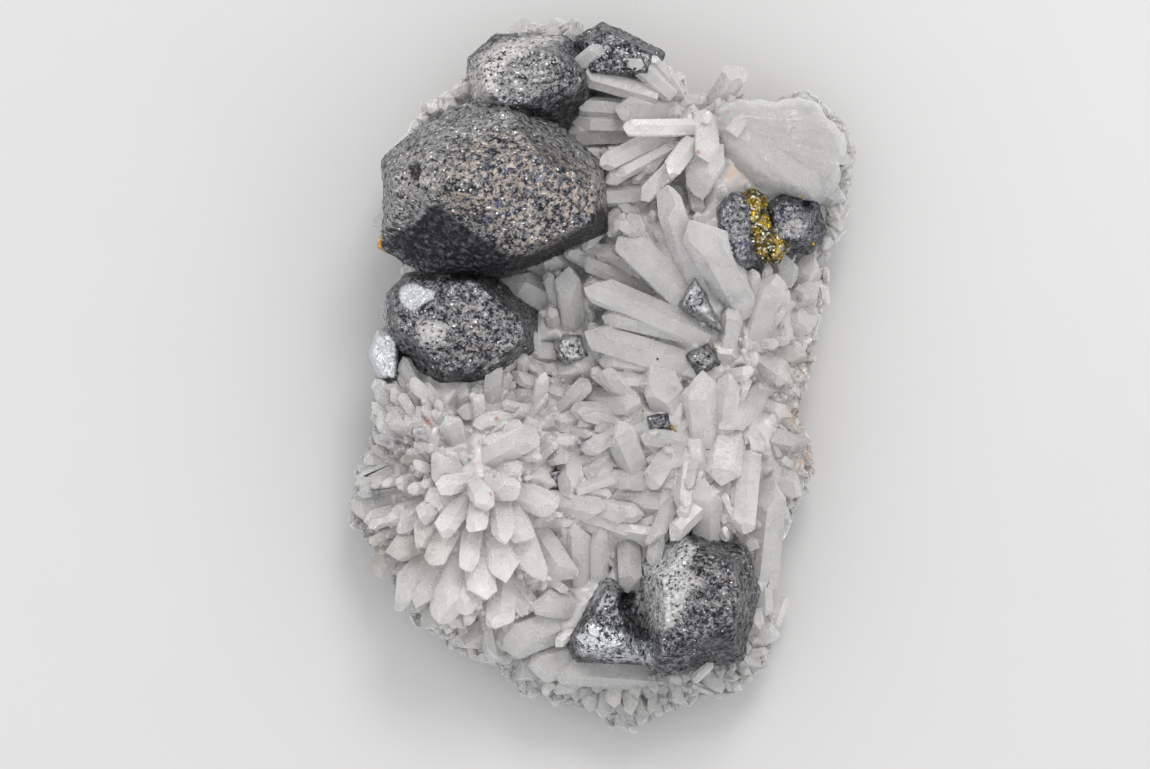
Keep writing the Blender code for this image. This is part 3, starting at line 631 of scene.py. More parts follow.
def lobePlanes(lobe):
    # unit normals of the flat sides and their distances from the centre; a side has one plane above and one below
    rows = [(0, 90, lobe["top"]), (0, -90, lobe["bottom"])]
    for azimuth, reach, above, below in lobe["sides"]:
        rows += [(azimuth, lean, reach * math.cos(math.radians(lean))) for lean in (above, -below)]
    azimuth, elevation, reach = np.array(rows + lobe["caps"], dtype=float).T
    return direction(np.radians(azimuth), np.radians(elevation)), reach


def cubeSphere(rows):
    # directions from the centre of a cube to a grid on its faces, spaced by tan(angle), welded along the cube's edges
    span = np.arange(-rows, rows + 1, 2)
    a, b = np.meshgrid(span, span, indexing="ij")
    keys, quads, start = [], [], 0
    n = len(span)
    i, j = np.meshgrid(np.arange(n - 1), np.arange(n - 1), indexing="ij")
    for axis in range(3):
        for side in (-rows, rows):
            key = np.stack([a.ravel(), b.ravel()], axis=1)
            key = np.insert(key, axis, side, axis=1)
            quad = np.stack([i * n + j, (i + 1) * n + j, (i + 1) * n + j + 1, i * n + j + 1], axis=2).reshape(-1, 4)
            turned = (side > 0) == (axis == 1)
            quads.append((quad[:, ::-1] if turned else quad) + start)
            keys.append(key)
            start += n * n
    keys, quads = np.concatenate(keys), np.concatenate(quads)
    unique, inverse = np.unique(keys, axis=0, return_inverse=True)
    return unit(np.tan(unique / rows * math.pi / 4)), inverse.reshape(-1)[quads]


def insideLobe(points, lobe):
    # offset from the centre . normal <= distance for every plane
    normals, reaches = lobePlanes(lobe)
    return ((points - np.array(lobe["centre"])) @ normals.T <= reaches).all(axis=1)


def lobeSurface(lobe, rows, relief, pits=()):
    # radius = (sum(closeness ^ b)) ^ (-1 / b) * (1 + lumps), closeness = direction . normal / distance of each plane;
    # then small blocks are added and each pit takes away depth * its oval patch
    directions, quads = cubeSphere(rows)
    directions = unit(directions + np.array([0, 0, lobeForm["upShift"]]))
    normals, reaches = lobePlanes(lobe)
    closeness = np.maximum(directions @ normals.T, 0) / reaches
    radius = (closeness ** lobeForm["bluntness"]).sum(axis=1) ** (-1 / lobeForm["bluntness"])
    size = min(radius.mean(), lobeForm["largestLumpy"])
    lumps = waves(directions * size, len(lobe["sides"]), size * lobeForm["lumpWave"])
    radius = radius * (1 + lobeForm["lumpDepth"] * lumps)
    points = np.array(lobe["centre"]) + directions * radius[:, None]
    rise = np.zeros(len(points))
    for number, (cell, depth, steep) in enumerate(relief):
        salt = lobeForm["blockSeed"] + lobeForm["seedStep"] * number
        rise += depth * (cellBlocks(points, cell, salt, steep) / cell + lobeForm["blockLevel"])
    for x, y, halfX, halfY, depth in pits:
        rise -= depth * patch(points, x, y, halfX, halfY) * (directions[:, 2] > 0)
    return points + directions * rise[:, None], quads


galenaMasks = ("silver", "flaky", "bronze", "blue", "coat", "paintedShadeAndDarkTone")
galenaLook = {
    "dark": (0.022, 0.023, 0.027), "light": (0.32, 0.318, 0.33), "bronze": (0.38, 0.312, 0.258),
    "blue": (0.12, 0.125, 0.23), "silver": (0.60, 0.61, 0.63), "coat": (0.44, 0.425, 0.41),
    # black is the near black of the shade mask: painted shade, and a plain darker tone where that mask is broad and
    # weak
    "black": (0.022, 0.022, 0.025), "paintedGlint": (0.75, 0.75, 0.77),
    "cellScale": 3300.0, "lumpScale": 1320.0, "lean": 0.9, "bulge": 0.7, "paintedShadeLumps": -0.32,
    # the glint colour and its limits: a painted glint, near white on the few cells above the limits
    "paintedGlintFrom": 0.982, "paintedGlintTo": 0.992, "roughness": 0.3, "roughVary": 0.2, "bump": 0.8, "bumpDepth": 0.25,
    "mottles": {  # scale, low and high of each cloudy mask
        "broad": (420.0, 0.35, 0.65), "fine": (1500.0, 0.42, 0.58), "worms": (1000.0, 0.38, 0.6),
    },
    "streak": (1.0, 0.45, 1.0), "streaks": (900.0, 0.49, 0.53),
    "shares": {  # how much each pattern adds, then the sum that stands for none and the one that stands for all
        # grain: random cells and clouds, which are the grain's own tone, and the worms, which are also the bump's
        # height, so the hollows are darker: painted shade
        "grainAndHollowShade": ({"cell": 1.0, "fine": 0.3, "broad": 0.25, "lumps": 0.6, "worms": 0.6}, 0.7, 2.3),
        "bronze": ({"other": 0.7, "fine": 0.45, "worms": 0.5, "broad": 0.5}, 1.15, 1.5),
        "blue": ({"other": 0.7, "fine": 0.45, "broad": 0.8}, 0.95, 0.35),
        "coat": ({"cell": 1.0, "fine": 1.0, "worms": 0.8}, 0.5, 1.4),
        "flaky": ({"other": 0.7, "fine": 0.45}, 0.7, 0.8),
    },
}


def galenaMaterial():
    # grains of dark and light lead grey, darker in the bump's hollows as painted shade, with a few painted glints,
    # tinted where the piece's own masks say, with painted shade from the shade mask; each share is the ramped sum of
    # weight * pattern, and a tint's amount is mask * share
    made, tree, shader, place = newMaterial("galenaGrey")
    masks = {key: readValue(tree, key) for key in galenaMasks}
    glints = groupNode(tree, glintGroup, {
        "Vector": place, "Scale": galenaLook["cellScale"], "Lean": galenaLook["lean"], "Bulge": galenaLook["bulge"],
    })
    lumps = groupNode(tree, glintGroup, {"Vector": place, "Scale": galenaLook["lumpScale"]})["Cell"]
    patterns = {key: mottleMask(tree, place, *limits) for key, limits in galenaLook["mottles"].items()}
    patterns.update(cell=glints["Cell"], other=glints["Other"], lumps=lumps)
    shares = {}
    for key, (weights, low, high) in galenaLook["shares"].items():
        total = 0.0
        for pattern, weight in weights.items():
            total = mathNode(tree, "MULTIPLY_ADD", patterns[pattern], weight, total)
        shares[key] = ramp(tree, total, low, high)
    streakPlace = vectorNode(tree, "MULTIPLY", place, galenaLook["streak"])
    streaks = mottleMask(tree, streakPlace, *galenaLook["streaks"])
    flaked = mathNode(tree, "MULTIPLY", masks["flaky"], mathNode(tree, "MAXIMUM", streaks, shares["flaky"]))
    lumpy = mathNode(tree, "MULTIPLY_ADD", lumps, galenaLook["paintedShadeLumps"], 1.0)
    # painted glints: near white on the few cells above the limits, none where the shade mask paints shade
    paintedGlint = ramp(tree, glints["Cell"], galenaLook["paintedGlintFrom"], galenaLook["paintedGlintTo"])
    amounts = {key: mathNode(tree, "MULTIPLY", masks[key], shares[key]) for key in ("bronze", "blue", "coat")}
    amounts["silver"] = mathNode(tree, "MAXIMUM", masks["silver"], flaked)
    # painted shade: near black where the shade mask is, lightened in spots by the lumps
    amounts["black"] = mathNode(tree, "MULTIPLY", masks["paintedShadeAndDarkTone"], lumpy)
    amounts["paintedGlint"] = mathNode(tree, "MULTIPLY", paintedGlint, mathNode(tree, "SUBTRACT", 1.0, masks["paintedShadeAndDarkTone"]))
    # dark to light lead grey by the grain share: grain tone, and painted shade in the bump's hollows
    colour = mixColour(tree, shares["grainAndHollowShade"], galenaLook["dark"], galenaLook["light"])
    for key, amount in amounts.items():
        colour = mixColour(tree, amount, colour, galenaLook[key])
    feed(tree, shader, {
        "Base Color": colour, "Metallic": mathNode(tree, "SUBTRACT", 1.0, amounts["coat"]),
        "Roughness": mathNode(tree, "MULTIPLY_ADD", glints["Other"], galenaLook["roughVary"], galenaLook["roughness"]),
        "Normal": bumpNode(
            tree, galenaLook["bump"], galenaLook["bumpDepth"], patterns["worms"], Normal=glints["Normal"],
        ),
    })
    return made


galenaGrey = galenaMaterial()

# Each galena piece: the node it stands for, its lobes with grid rows, the relief as (cell, depth, steepness), tinted
# places as (mask, strength, softness, corners x y ...), and pits as (x, y, half width, half height, depth)
grainRelief = [(2.6, 0.22, 0.8), (1.2, 0.32, 1.0), (0.7, 0.2, 1.0)]
smallRelief = [(2.0, 0.45, 0.8), (0.9, 0.35, 0.9), (0.5, 0.14, 1.0)]
# The shade tints paint near black: painted shade on facets turned away from the light, on rims and in holes and pits,
# and a plain darker tone over broad areas
galenaPieces = {
    "galenaLarge": {
        "node": "galena_large", "lobes": [("large", 84)], "relief": grainRelief,
        "tints": [
            # painted shade: the facet that turns down and away from the light, and the dark rim along the bottom
            ("paintedShadeAndDarkTone", 1.0, 0.5, [
                (-37, 21.8), (-33.3, 24.2), (-30, 25.8), (-28.3, 28.2), (-26.5, 28.3), (-24.7, 27), (-22.3, 25),
                (-20, 23.3), (-17.2, 21.5), (-14.8, 20.2), (-11.7, 20.2), (-7.5, 22), (-2.5, 25), (0.2, 28.3),
                (2.2, 26), (0, 22),
                (-6.7, 17), (-15.8, 15), (-29.2, 15), (-37, 18),
            ]),
            ("bronze", 0.85, 3.0, [
                (-26.7, 36.3), (-21.7, 39.7), (-16.7, 41.3), (-6.7, 38), (2.5, 33.5), (2.5, 29), (-3.3, 24.7),
                (-10, 21), (-14.7, 20.7), (-17.5, 22.2), (-21.7, 25), (-25, 27.7), (-27.5, 30.5),
            ]),
            ("coat", 0.35, 1.5, [(-2.5, 37), (3, 35), (3, 28.5), (-1, 28.5)]),
            ("bronze", 0.4, 4.0, [(-35, 37), (-28, 40), (-27, 30), (-34, 25)]),
            ("coat", 0.3, 3.0, [
                (-37, 24), (-33.3, 25), (-30, 27), (-27, 31), (-26.7, 36.3), (-21.7, 39.7), (-16.7, 41.3), (-6.7, 38),
                (-0.7, 32.2), (2, 36), (-2, 42), (-10, 48), (-24, 48), (-33, 42), (-38, 32),
            ]),
            ("blue", 0.5, 3.0, [
                (-20, 36.3), (-10, 36.3), (-6.7, 32.2), (-11.7, 28.8), (-16.7, 23.8), (-18.7, 25.5), (-17.5, 30.5),
            ]),
        ],
        "pits": [(-30.7, 34.0, 0.9, 1.4, 2.8)],
    },
    "galenaUpper": {
        "node": "galena_upper", "lobes": [("upper", 54)], "relief": grainRelief,
        "tints": [
            ("coat", 1.0, 1.5, [
                (-24, 49), (-21, 53), (-16.7, 56), (-9.2, 58), (-6.7, 56.7), (-10, 54.7), (-14.2, 53), (-16.7, 49.7),
                (-18, 46.3), (-20.3, 44.7), (-24, 45.5),
            ]),
            ("coat", 0.35, 4.0, [(-19, 46), (-17, 53), (-8, 55), (-6, 50), (-12, 46)]),
            ("paintedShadeAndDarkTone", 0.8, 1.6, [
                (-13.3, 45), (-9.2, 46.7), (-5, 47), (-2.5, 48), (-1.5, 45.5), (-4.2, 42), (-6.7, 40), (-10.8, 41),
            ]),
        ],
    },
    "galenaTop": {
        "node": "galena_top", "lobes": [("top", 36)], "relief": grainRelief,
        "tints": [("paintedShadeAndDarkTone", 0.7, 1.2, [(0, 49), (6, 50.5), (10.5, 52.5), (10.5, 48), (0, 47)])],
    },
    "galenaMiddle": {
        "node": "galena_middle", "lobes": [("middle", 56)], "relief": grainRelief,
        "tints": [
            ("silver", 1.0, 0.3, [
                (-33.3, 15.2), (-31.3, 15.8), (-29.3, 14.8), (-27.3, 14.3), (-27.7, 13), (-29.3, 12.5), (-31, 11),
                (-32.7, 12), (-33.5, 13.5),
            ]),
            ("silver", 1.0, 0.3, [(-27.7, 17.3), (-26.3, 18), (-24.5, 17.6), (-25, 16.7), (-27, 16.6)]),
            ("coat", 0.85, 1.2, [
                (-30, 9.3), (-27.3, 10), (-25.5, 8.7), (-25.7, 6), (-27.7, 4.7), (-29.8, 5.5), (-30.7, 7.5),
            ]),
            ("bronze", 0.35, 5.0, [(-25, 13), (-16.7, 12), (-12.5, 8), (-15.8, 3), (-22.5, 2), (-25.8, 5.5)]),
            ("paintedShadeAndDarkTone", 0.6, 1.6, [(-29, 0), (-24, 1.2), (-16, 2.2), (-11, 5), (-9, 2), (-18, -3), (-29, -3)]),
            ("paintedShadeAndDarkTone", 0.7, 1.4, [(-24, 16.2), (-17, 15.6), (-11, 13), (-11, 18), (-24, 20)]),
        ],
    },
    "galenaLeftEdge": {
        "node": "galena_left_edge", "lobes": [("plate", 18), ("lump", 22)], "relief": [(1.4, 0.3, 0.9)],
        "tints": [("silver", 1.0, 0.4, [(-40, 0), (-34.4, 0), (-34.2, 5), (-35, 9.5), (-40, 9)])],
    },
    "galenaRight": {
        "node": "galena_right", "lobes": [("rightA", 38), ("rightB", 38)], "relief": grainRelief,
        "tints": [
            ("coat", 0.7, 1.5, [(30.5, 25), (32.5, 27), (34.5, 26), (34, 24), (31.5, 23.5)]),
            ("coat", 0.22, 3.0, [(17, 18), (17, 32), (25, 33), (24, 18)]),
            ("blue", 0.5, 2.0, [(17, 18), (17, 32), (38, 32), (38, 18)]),
            ("paintedShadeAndDarkTone", 0.7, 1.0, [(33, 21), (37, 24), (39, 24), (37, 18), (31, 18)]),
            ("paintedShadeAndDarkTone", 0.2, 3.0, [(27, 18), (27, 33), (39, 33), (39, 18)]),
        ],
        "pits": [(34.7, 29.0, 0.9, 1.2, 1.2)],
    },
    "galenaTriangle": {
        "node": "galena_triangle", "lobes": [("triangle", 26)], "relief": smallRelief,
        "tints": [
            ("flaky", 0.3, 1.0, [(12, 17), (22, 17), (22, 7), (12, 7)]),
            ("coat", 0.3, 1.0, [(12, 17), (22, 17), (22, 7), (12, 7)]),
        ],
    },
    "galenaSmallCentre": {
        "node": "galena_small_centre", "lobes": [("smallCentre", 26)], "relief": smallRelief,
        "tints": [
            ("flaky", 0.45, 1.0, [(-8, 8), (-1, 8), (-1, 1), (-8, 1)]),
            ("coat", 0.5, 1.0, [(-8, 8), (-1, 8), (-1, 1), (-8, 1)]),
        ],
    },
    "galenaSmallRight": {
        "node": "galena_small_right", "lobes": [("smallRight", 24)], "relief": smallRelief,
        "tints": [("coat", 0.35, 1.0, [(14, 6), (20, 6), (20, 2.5), (14, 2.5)])],
    },
    "galenaBottom": {
        "node": "galena_bottom", "lobes": [("bottomMain", 62), ("bottomLeft", 44)], "relief": grainRelief,
        "tints": [
            ("coat", 0.75, 1.2, [
                (6.0, -30.0), (9.0, -27.0), (13.8, -26.4), (16.0, -28.3), (15, -31.2), (16.7, -33.7), (14.2, -37),
                (12.6, -41.2), (9.6, -42.5), (6.6, -40.8), (6.0, -37), (5.8, -33.7),
            ]),
            ("flaky", 1.0, 1.0, [
                (-4.5, -43.7), (-1.7, -40.7), (1.7, -41.7), (6.7, -43.7), (9, -46), (8.3, -48), (5, -49.5), (0, -46.7),
                (-3.3, -46.2),
            ]),
            ("flaky", 0.7, 1.2, [(-3, -38), (0, -33), (3.5, -33.5), (2.5, -36.5), (0, -38.5)]),
            ("flaky", 0.5, 1.5, [(6.5, -38), (6.5, -31), (10, -27.5), (14.5, -28), (13, -36), (10, -41)]),
            ("bronze", 0.3, 5.0, [(15, -30), (24, -30), (25, -38), (17, -40)]),
            ("paintedShadeAndDarkTone", 0.2, 3.0, [
                (15, -27), (24, -28), (27, -36), (24, -44), (14, -50), (9, -46), (14, -40), (17, -34),
            ]),
            ("paintedShadeAndDarkTone", 0.6, 2.0, [(16, -44), (24, -39.5), (28, -42), (26, -47), (19, -52), (14, -51)]),
            # painted shade in the hole between the two lobes
            ("paintedShadeAndDarkTone", 1.0, 0.8, [(3.2, -35.5), (5, -35), (6.2, -37), (6.2, -40.5), (4.2, -40), (3.2, -38)]),
        ],
        "pits": [(4.7, -37.9, 1.3, 2.3, 3.0)],
    },
    "galenaGrainCentre": {
        "node": "galena_grain_centre", "lobes": [("grainCentre", 14)], "relief": [(1.0, 0.2, 0.9)], "tints": [],
    },
    "galenaGrainRight": {
        "node": "galena_grain_right", "lobes": [("grainRight", 14)], "relief": [(1.0, 0.2, 0.9)], "tints": [],
    },
}
maskForm = {
    "ragged": [(0.5, 61, 3.0), (0.3, 62, 1.1)],  # amount, seed, wavelength of the masks' edges
    "raggedMost": 1.5, "fadeBelow": 4.0,
}


def polygonDistance(x, y, corners):
    # distance in plan to the nearest edge, negative where a ray to the right crosses an odd number of edges
    a = np.array(corners, dtype=float)
    b = np.roll(a, -1, axis=0)
    edge = b - a
    offX, offY = x[:, None] - a[:, 0], y[:, None] - a[:, 1]
    share = np.clip((offX * edge[:, 0] + offY * edge[:, 1]) / (edge**2).sum(axis=1), 0, 1)
    distance = np.hypot(offX - share * edge[:, 0], offY - share * edge[:, 1]).min(axis=1)
    level = np.where(edge[:, 1] == 0, 1e-9, edge[:, 1])
    crosses = ((a[:, 1] > y[:, None]) != (b[:, 1] > y[:, None])) & (offX < offY * edge[:, 0] / level)
    return np.where(crosses.sum(axis=1) % 2 == 1, -distance, distance)


def makeGalena(name, piece):
    # each mask is strength * seen from above * a ramp over the softness across its polygon's ragged edge; pits get
    # painted shade
    pits = piece.get("pits", [])
    surfaces = [lobeSurface(lobes[lobe], rows, piece["relief"], pits) for lobe, rows in piece["lobes"]]
    centres = [lobes[lobe]["centre"][2] for lobe, _ in piece["lobes"]]
    upward = np.concatenate([points[:, 2] - centre for (points, _), centre in zip(surfaces, centres)])
    points, quads = joinSurfaces(surfaces)
    seen = np.clip(0.5 + upward / maskForm["fadeBelow"], 0, 1)
    masks = {key: np.zeros(len(points)) for key in galenaMasks}
    ragged = waveSum(points, maskForm["ragged"])
    for key, strength, softness, corners in piece["tints"]:
        away = polygonDistance(points[:, 0], points[:, 1], corners) + ragged * min(softness, maskForm["raggedMost"])
        masks[key] = np.maximum(masks[key], strength * seen * np.clip(0.5 - away / softness, 0, 1))
    # painted shade in each pit
    for *oval, depth in pits:
        masks["paintedShadeAndDarkTone"] = np.maximum(masks["paintedShadeAndDarkTone"], patch(points, *oval) * seen)
    made = makePiece(name, points, [quads], galenaGrey, values=masks)
    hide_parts(piece["node"])


for pieceName, piece in galenaPieces.items():
    makeGalena(pieceName, piece)
print("galena made")


crust = {
    "lobes": ("crustUpper", "crustMiddle", "crustLower"), "rows": 26, "relief": [(1.1, 0.35, 1.0), (0.55, 0.35, 1.2)],
    "gold": (0.30, 0.205, 0.035), "olive": (0.045, 0.04, 0.018), "silver": (0.42, 0.42, 0.40),
    "mottle": (600.0, 0.4, 0.6), "silverFrom": 0.77, "silverTo": 0.81, "roughness": 0.34,
    "cells": {"Scale": 3200.0, "Lean": 1.1, "Bulge": 0.8},
}


def makeCrust():
    # three small lobes; the colour goes from olive to gold by clouds, and cells above a limit are silver: silvery
    # grains, partly painted glints
    material, tree, shader, place = newMaterial("chalcopyriteCrust")
    glints = groupNode(tree, glintGroup, {"Vector": place, **crust["cells"]})
    colour = mixColour(tree, mottleMask(tree, place, *crust["mottle"]), crust["olive"], crust["gold"])
    # silver cells: silvery grains, partly painted glints
    bright = ramp(tree, glints["Cell"], crust["silverFrom"], crust["silverTo"])
    feed(tree, shader, {
        "Base Color": mixColour(tree, bright, colour, crust["silver"]), "Normal": glints["Normal"],
        "Metallic": 1.0, "Roughness": crust["roughness"],
    })
    points, quads = joinSurfaces([lobeSurface(lobes[name], crust["rows"], crust["relief"]) for name in crust["lobes"]])
    made = makePiece("chalcopyriteCrust", points, [quads], material)
    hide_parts("chalcopyrite_crust")


makeCrust()
print("chalcopyrite made")


# Small grains on the quartz: name, finish, and rows of x, y, height of the middle, radius
specks = {
    "ochreNub": ("ochre", [(-36.0, 23.1, 25.4, 0.9), (-36.4, 22.2, 24.9, 0.8), (-35.7, 21.6, 24.5, 0.7)]),
    "goldSpecks": ("gold", [
        (12.0, -8.2, 21.0, 0.35), (12.6, -8.9, 20.8, 0.25), (-7.9, -1.0, 20.2, 0.3), (33.4, 30.2, 24.2, 0.25),
        (35.6, 22.4, 22.9, 0.3), (19.4, 4.8, 23.3, 0.2), (7.2, -5.6, 21.2, 0.2),
    ]),
    "darkSpecks": ("dark", [
        (-3.3, -10.7, 20.5, 0.25), (1.8, -31.8, 19.6, 0.25), (-29.4, -7.2, 19.0, 0.4), (14.1, -25.6, 18.4, 0.6),
        (9.6, 3.2, 24.5, 0.2), (24.8, -33.0, 27.0, 0.25),
    ]),
}
speckForm = {
    "rows": 5, "uneven": 0.25, "seed": 77, "wavelength": 1.2,
    "finishes": {  # colour and metallic
        "ochre": ((0.55, 0.30, 0.06), 0.0), "gold": ((0.45, 0.30, 0.06), 1.0), "dark": ((0.03, 0.028, 0.028), 0.6),
    },
    "mottle": (1800.0, 0.35, 0.65), "dull": 0.45, "roughness": 0.4, "bump": 0.6, "bumpDepth": 0.1,
}
# A thin dark ring of sulfide: middle, half width and half height, height of its middle, thickness, how far it tilts,
# how its thickness varies and how far it bends, and points around it and across it
ring = {
    "centre": (-8.8, -0.8), "half": (0.9, 1.3), "level": 20.2, "thick": 0.15, "tilt": 1.3, "vary": 0.3, "bend": 0.2,
    "around": 48, "across": 8,
}


def speckMaterial(name, colour, metallic):
    # clouds from the dulled colour to the full one, and as much relief
    made, tree, shader, place = newMaterial(name)
    clouds = mottleMask(tree, place, *speckForm["mottle"])
    feed(tree, shader, {
        "Base Color": mixColour(tree, clouds, tuple(speckForm["dull"] * c for c in colour), colour),
        "Metallic": metallic, "Roughness": speckForm["roughness"],
        "Normal": bumpNode(tree, speckForm["bump"], speckForm["bumpDepth"], clouds),
    })
    return made


def makeSpecks():
    # each grain is a ball of the cube's grid: middle + radius * (1 + uneven * waves) * direction
    directions, quads = cubeSphere(speckForm["rows"])
    finishes = {name: speckMaterial(name, *finish) for name, finish in speckForm["finishes"].items()}
    for name, (finish, rows) in specks.items():
        balls = []
        for *middle, radius in rows:
            lumps = waves(directions + np.array(middle), speckForm["seed"], speckForm["wavelength"])
            ball = np.array(middle) + directions * (radius * (1 + speckForm["uneven"] * lumps))[:, None]
            balls.append((ball, quads))
        points, faces = joinSurfaces(balls)
        made = makePiece(name, points, [faces], finishes[finish])
    return finishes["dark"]


def makeRing(material):
    # a tube round an oval: x = middle + (half width + thickness * cos v) * cos u, y alike with sin u, tilted by sin u
    u, v = np.meshgrid(evenAngles(ring["around"]), evenAngles(ring["across"]), indexing="ij")
    thick = ring["thick"] * (1 + ring["vary"] * np.sin(3 * u))
    x = ring["centre"][0] + (ring["half"][0] + thick * np.cos(v)) * np.cos(u) + ring["bend"] * np.sin(2 * u)
    y = ring["centre"][1] + (ring["half"][1] + thick * np.cos(v)) * np.sin(u)
    z = ring["level"] + ring["tilt"] * np.sin(u) + thick * np.sin(v)
    a, b = np.meshgrid(np.arange(ring["around"]), np.arange(ring["across"]), indexing="ij")
    nextA, nextB = (a + 1) % ring["around"] * ring["across"], (b + 1) % ring["across"]
    a = a * ring["across"]
    faces = np.stack([a + b, nextA + b, nextA + nextB, a + nextB], axis=2).reshape(-1, 4)
    made = makePiece("darkRing", np.stack([x, y, z], axis=2).reshape(-1, 3), [faces], material)


makeRing(makeSpecks())
print("grains made")


crystalForm = {
    "apothem": 0.55, "sideSpread": 0.08, "tipSpread": 0.55, "slope": (0.85, 1.45), "smallFace": (0.15, 0.75),
    "smallFaceLeast": 0.02, "taper": (0.0, 0.1), "flat": (0.85, 1.0), "rootDepth": 0.55, "raised": 0.8,
}
smallForm = {  # shares of the width
    "radius": 0.56, "sides": (0.88, 1.08), "upper": 0.9, "shoulder": (0.35, 0.7), "tipShift": (-0.15, 0.15),
}


def crystalAxes(root, tip, turn):
    # along the crystal, and two directions across it turned by its own angle
    length = np.linalg.norm(tip - root, axis=1)
    axis = (tip - root) / length[:, None]
    helper = np.where(np.abs(axis[:, 2:]) > 0.95, np.array([[1.0, 0, 0]]), np.array([[0, 0, 1.0]]))
    side = unit(np.cross(axis, helper))
    other = np.cross(axis, side)
    first = np.cos(turn)[:, None] * side + np.sin(turn)[:, None] * other
    return axis, first, np.cross(axis, first), length


def standCrystals(draw, local, root, axes, faceGroups):
    # each corner goes to root + x * first + y * second + z * axis, and the faces' rows are repeated for each crystal;
    # along = z / length, and tone is one draw for each crystal
    axis, first, second, length = axes
    count, corners, _ = local.shape
    points = root[:, None] + local[:, :, :1] * first[:, None] + local[:, :, 1:2] * second[:, None]
    points = points + local[:, :, 2:] * axis[:, None]
    start = (np.arange(count) * corners)[:, None, None]
    faces = [(start + np.array(rows)[None]).reshape(-1, len(rows[0])) for rows in faceGroups]
    along = np.clip(local[:, :, 2] / length[:, None], 0, 1).ravel()
    tone = np.repeat(draw.uniform(0, 1, count), corners)
    return points.reshape(-1, 3), faces, {"along": along, "tone": tone}


def pointedCrystals(root, tip, width, seed):
    # six sides at distances a_k; three large end faces z = h_k - slope * (n_k . p) meet at the tip, and three small
    # ones between them are cut by z = h_k - slope * (n_k . p) with a higher h_k; all corners are solved in closed form
    draw = np.random.default_rng(seed)
    count = len(width)
    axes = crystalAxes(root, tip, draw.uniform(0, fullTurn, count))
    length = axes[3]
    slope = draw.uniform(*crystalForm["slope"], count)
    theta = evenAngles(6)
    normal = np.stack([np.cos(theta), np.sin(theta)], axis=1)
    nx, ny = normal.T
    spread = 1 + draw.uniform(-1, 1, (count, 6)) * crystalForm["sideSpread"]
    apothem = crystalForm["apothem"] * width[:, None] * spread
    across = apothem.mean(axis=1) * slope
    lift = draw.uniform(-1, 1, (count, 3))
    lift = (lift - lift.mean(axis=1, keepdims=True)) * (crystalForm["tipSpread"] * across)[:, None]
    height = np.zeros((count, 6))
    height[:, 0::2] = length[:, None] + lift
    for k in (1, 3, 5):
        before, after, opposite = k - 1, (k + 1) % 6, (k + 3) % 6
        lowest = np.maximum(height[:, before] + slope * (apothem[:, k] - apothem[:, before]),
                            height[:, after] + slope * (apothem[:, k] - apothem[:, after]))
        lowest = np.maximum(lowest, 2 * length - height[:, opposite])
        highest = (height[:, before] + height[:, after] + slope * apothem[:, k]) / 2
        share = draw.uniform(*crystalForm["smallFace"], count)
        height[:, k] = lowest + share * np.maximum(highest - lowest, crystalForm["smallFaceLeast"] * across)
    following = np.roll(np.arange(6), -1)
    sine = math.sin(math.pi / 3)
    cornerX = (apothem * ny[following] - apothem[:, following] * ny) / sine
    cornerY = (apothem[:, following] * nx - apothem * nx[following]) / sine
    largeOf = np.where(np.arange(6) % 2 == 0, np.arange(6), following)
    cornerZ = height[:, largeOf] - slope[:, None] * apothem[:, largeOf]
    local = np.zeros((count, 22, 3))
    local[:, 0:6] = np.stack([cornerX, cornerY, np.zeros_like(cornerX)], axis=2)
    local[:, 6:12] = np.stack([cornerX, cornerY, cornerZ], axis=2)
    for j, k in enumerate((1, 3, 5)):
        before, after = k - 1, (k + 1) % 6
        tangent = np.array([-ny[k], nx[k]])
        level = height[:, k] - slope * apothem[:, k]
        for corner, neighbour, sign in ((0, before, 1), (1, after, -1)):
            along = sign * (height[:, k] - height[:, neighbour] - slope * apothem[:, k] / 2) / (sine * slope)
            spot = apothem[:, k, None] * normal[k] + along[:, None] * tangent
            local[:, 12 + 2 * j + corner] = np.concatenate([spot, level[:, None]], axis=1)
        meetZ = height[:, before] + height[:, after] - height[:, k]
        outward = (height[:, k] - meetZ) / slope
        sideways = (height[:, after] - height[:, before]) / (2 * sine * slope)
        spot = outward[:, None] * normal[k] + sideways[:, None] * tangent
        local[:, 18 + j] = np.concatenate([spot, meetZ[:, None]], axis=1)
    peak = (2 / (3 * slope))[:, None] * (lift @ normal[0::2])
    local[:, 21] = np.concatenate([peak, length[:, None]], axis=1)
    taper = draw.uniform(*crystalForm["taper"], count)
    narrowing = 1 - taper[:, None] * local[:, :, 2] / length[:, None]
    local[:, :, 0] *= narrowing * draw.uniform(*crystalForm["flat"], (count, 1))
    local[:, :, 1] *= narrowing
    groups = {3: [], 4: [], 6: [[5, 4, 3, 2, 1, 0]], 7: []}  # by the number of corners
    for k in (0, 2, 4):
        j, left, right = k // 2, (k - 1) % 6, k
        last = (j - 1) % 3
        groups[4].append([left, right, 6 + right, 6 + left])
        groups[7].append([6 + left, 6 + right, 12 + 2 * j, 18 + j, 21, 18 + last, 13 + 2 * last])
        left, right = k, k + 1
        groups[6].append([left, right, 6 + right, 13 + 2 * j, 12 + 2 * j, 6 + left])
        groups[3].append([12 + 2 * j, 13 + 2 * j, 18 + j])
    return standCrystals(draw, local, root, axes, groups.values())


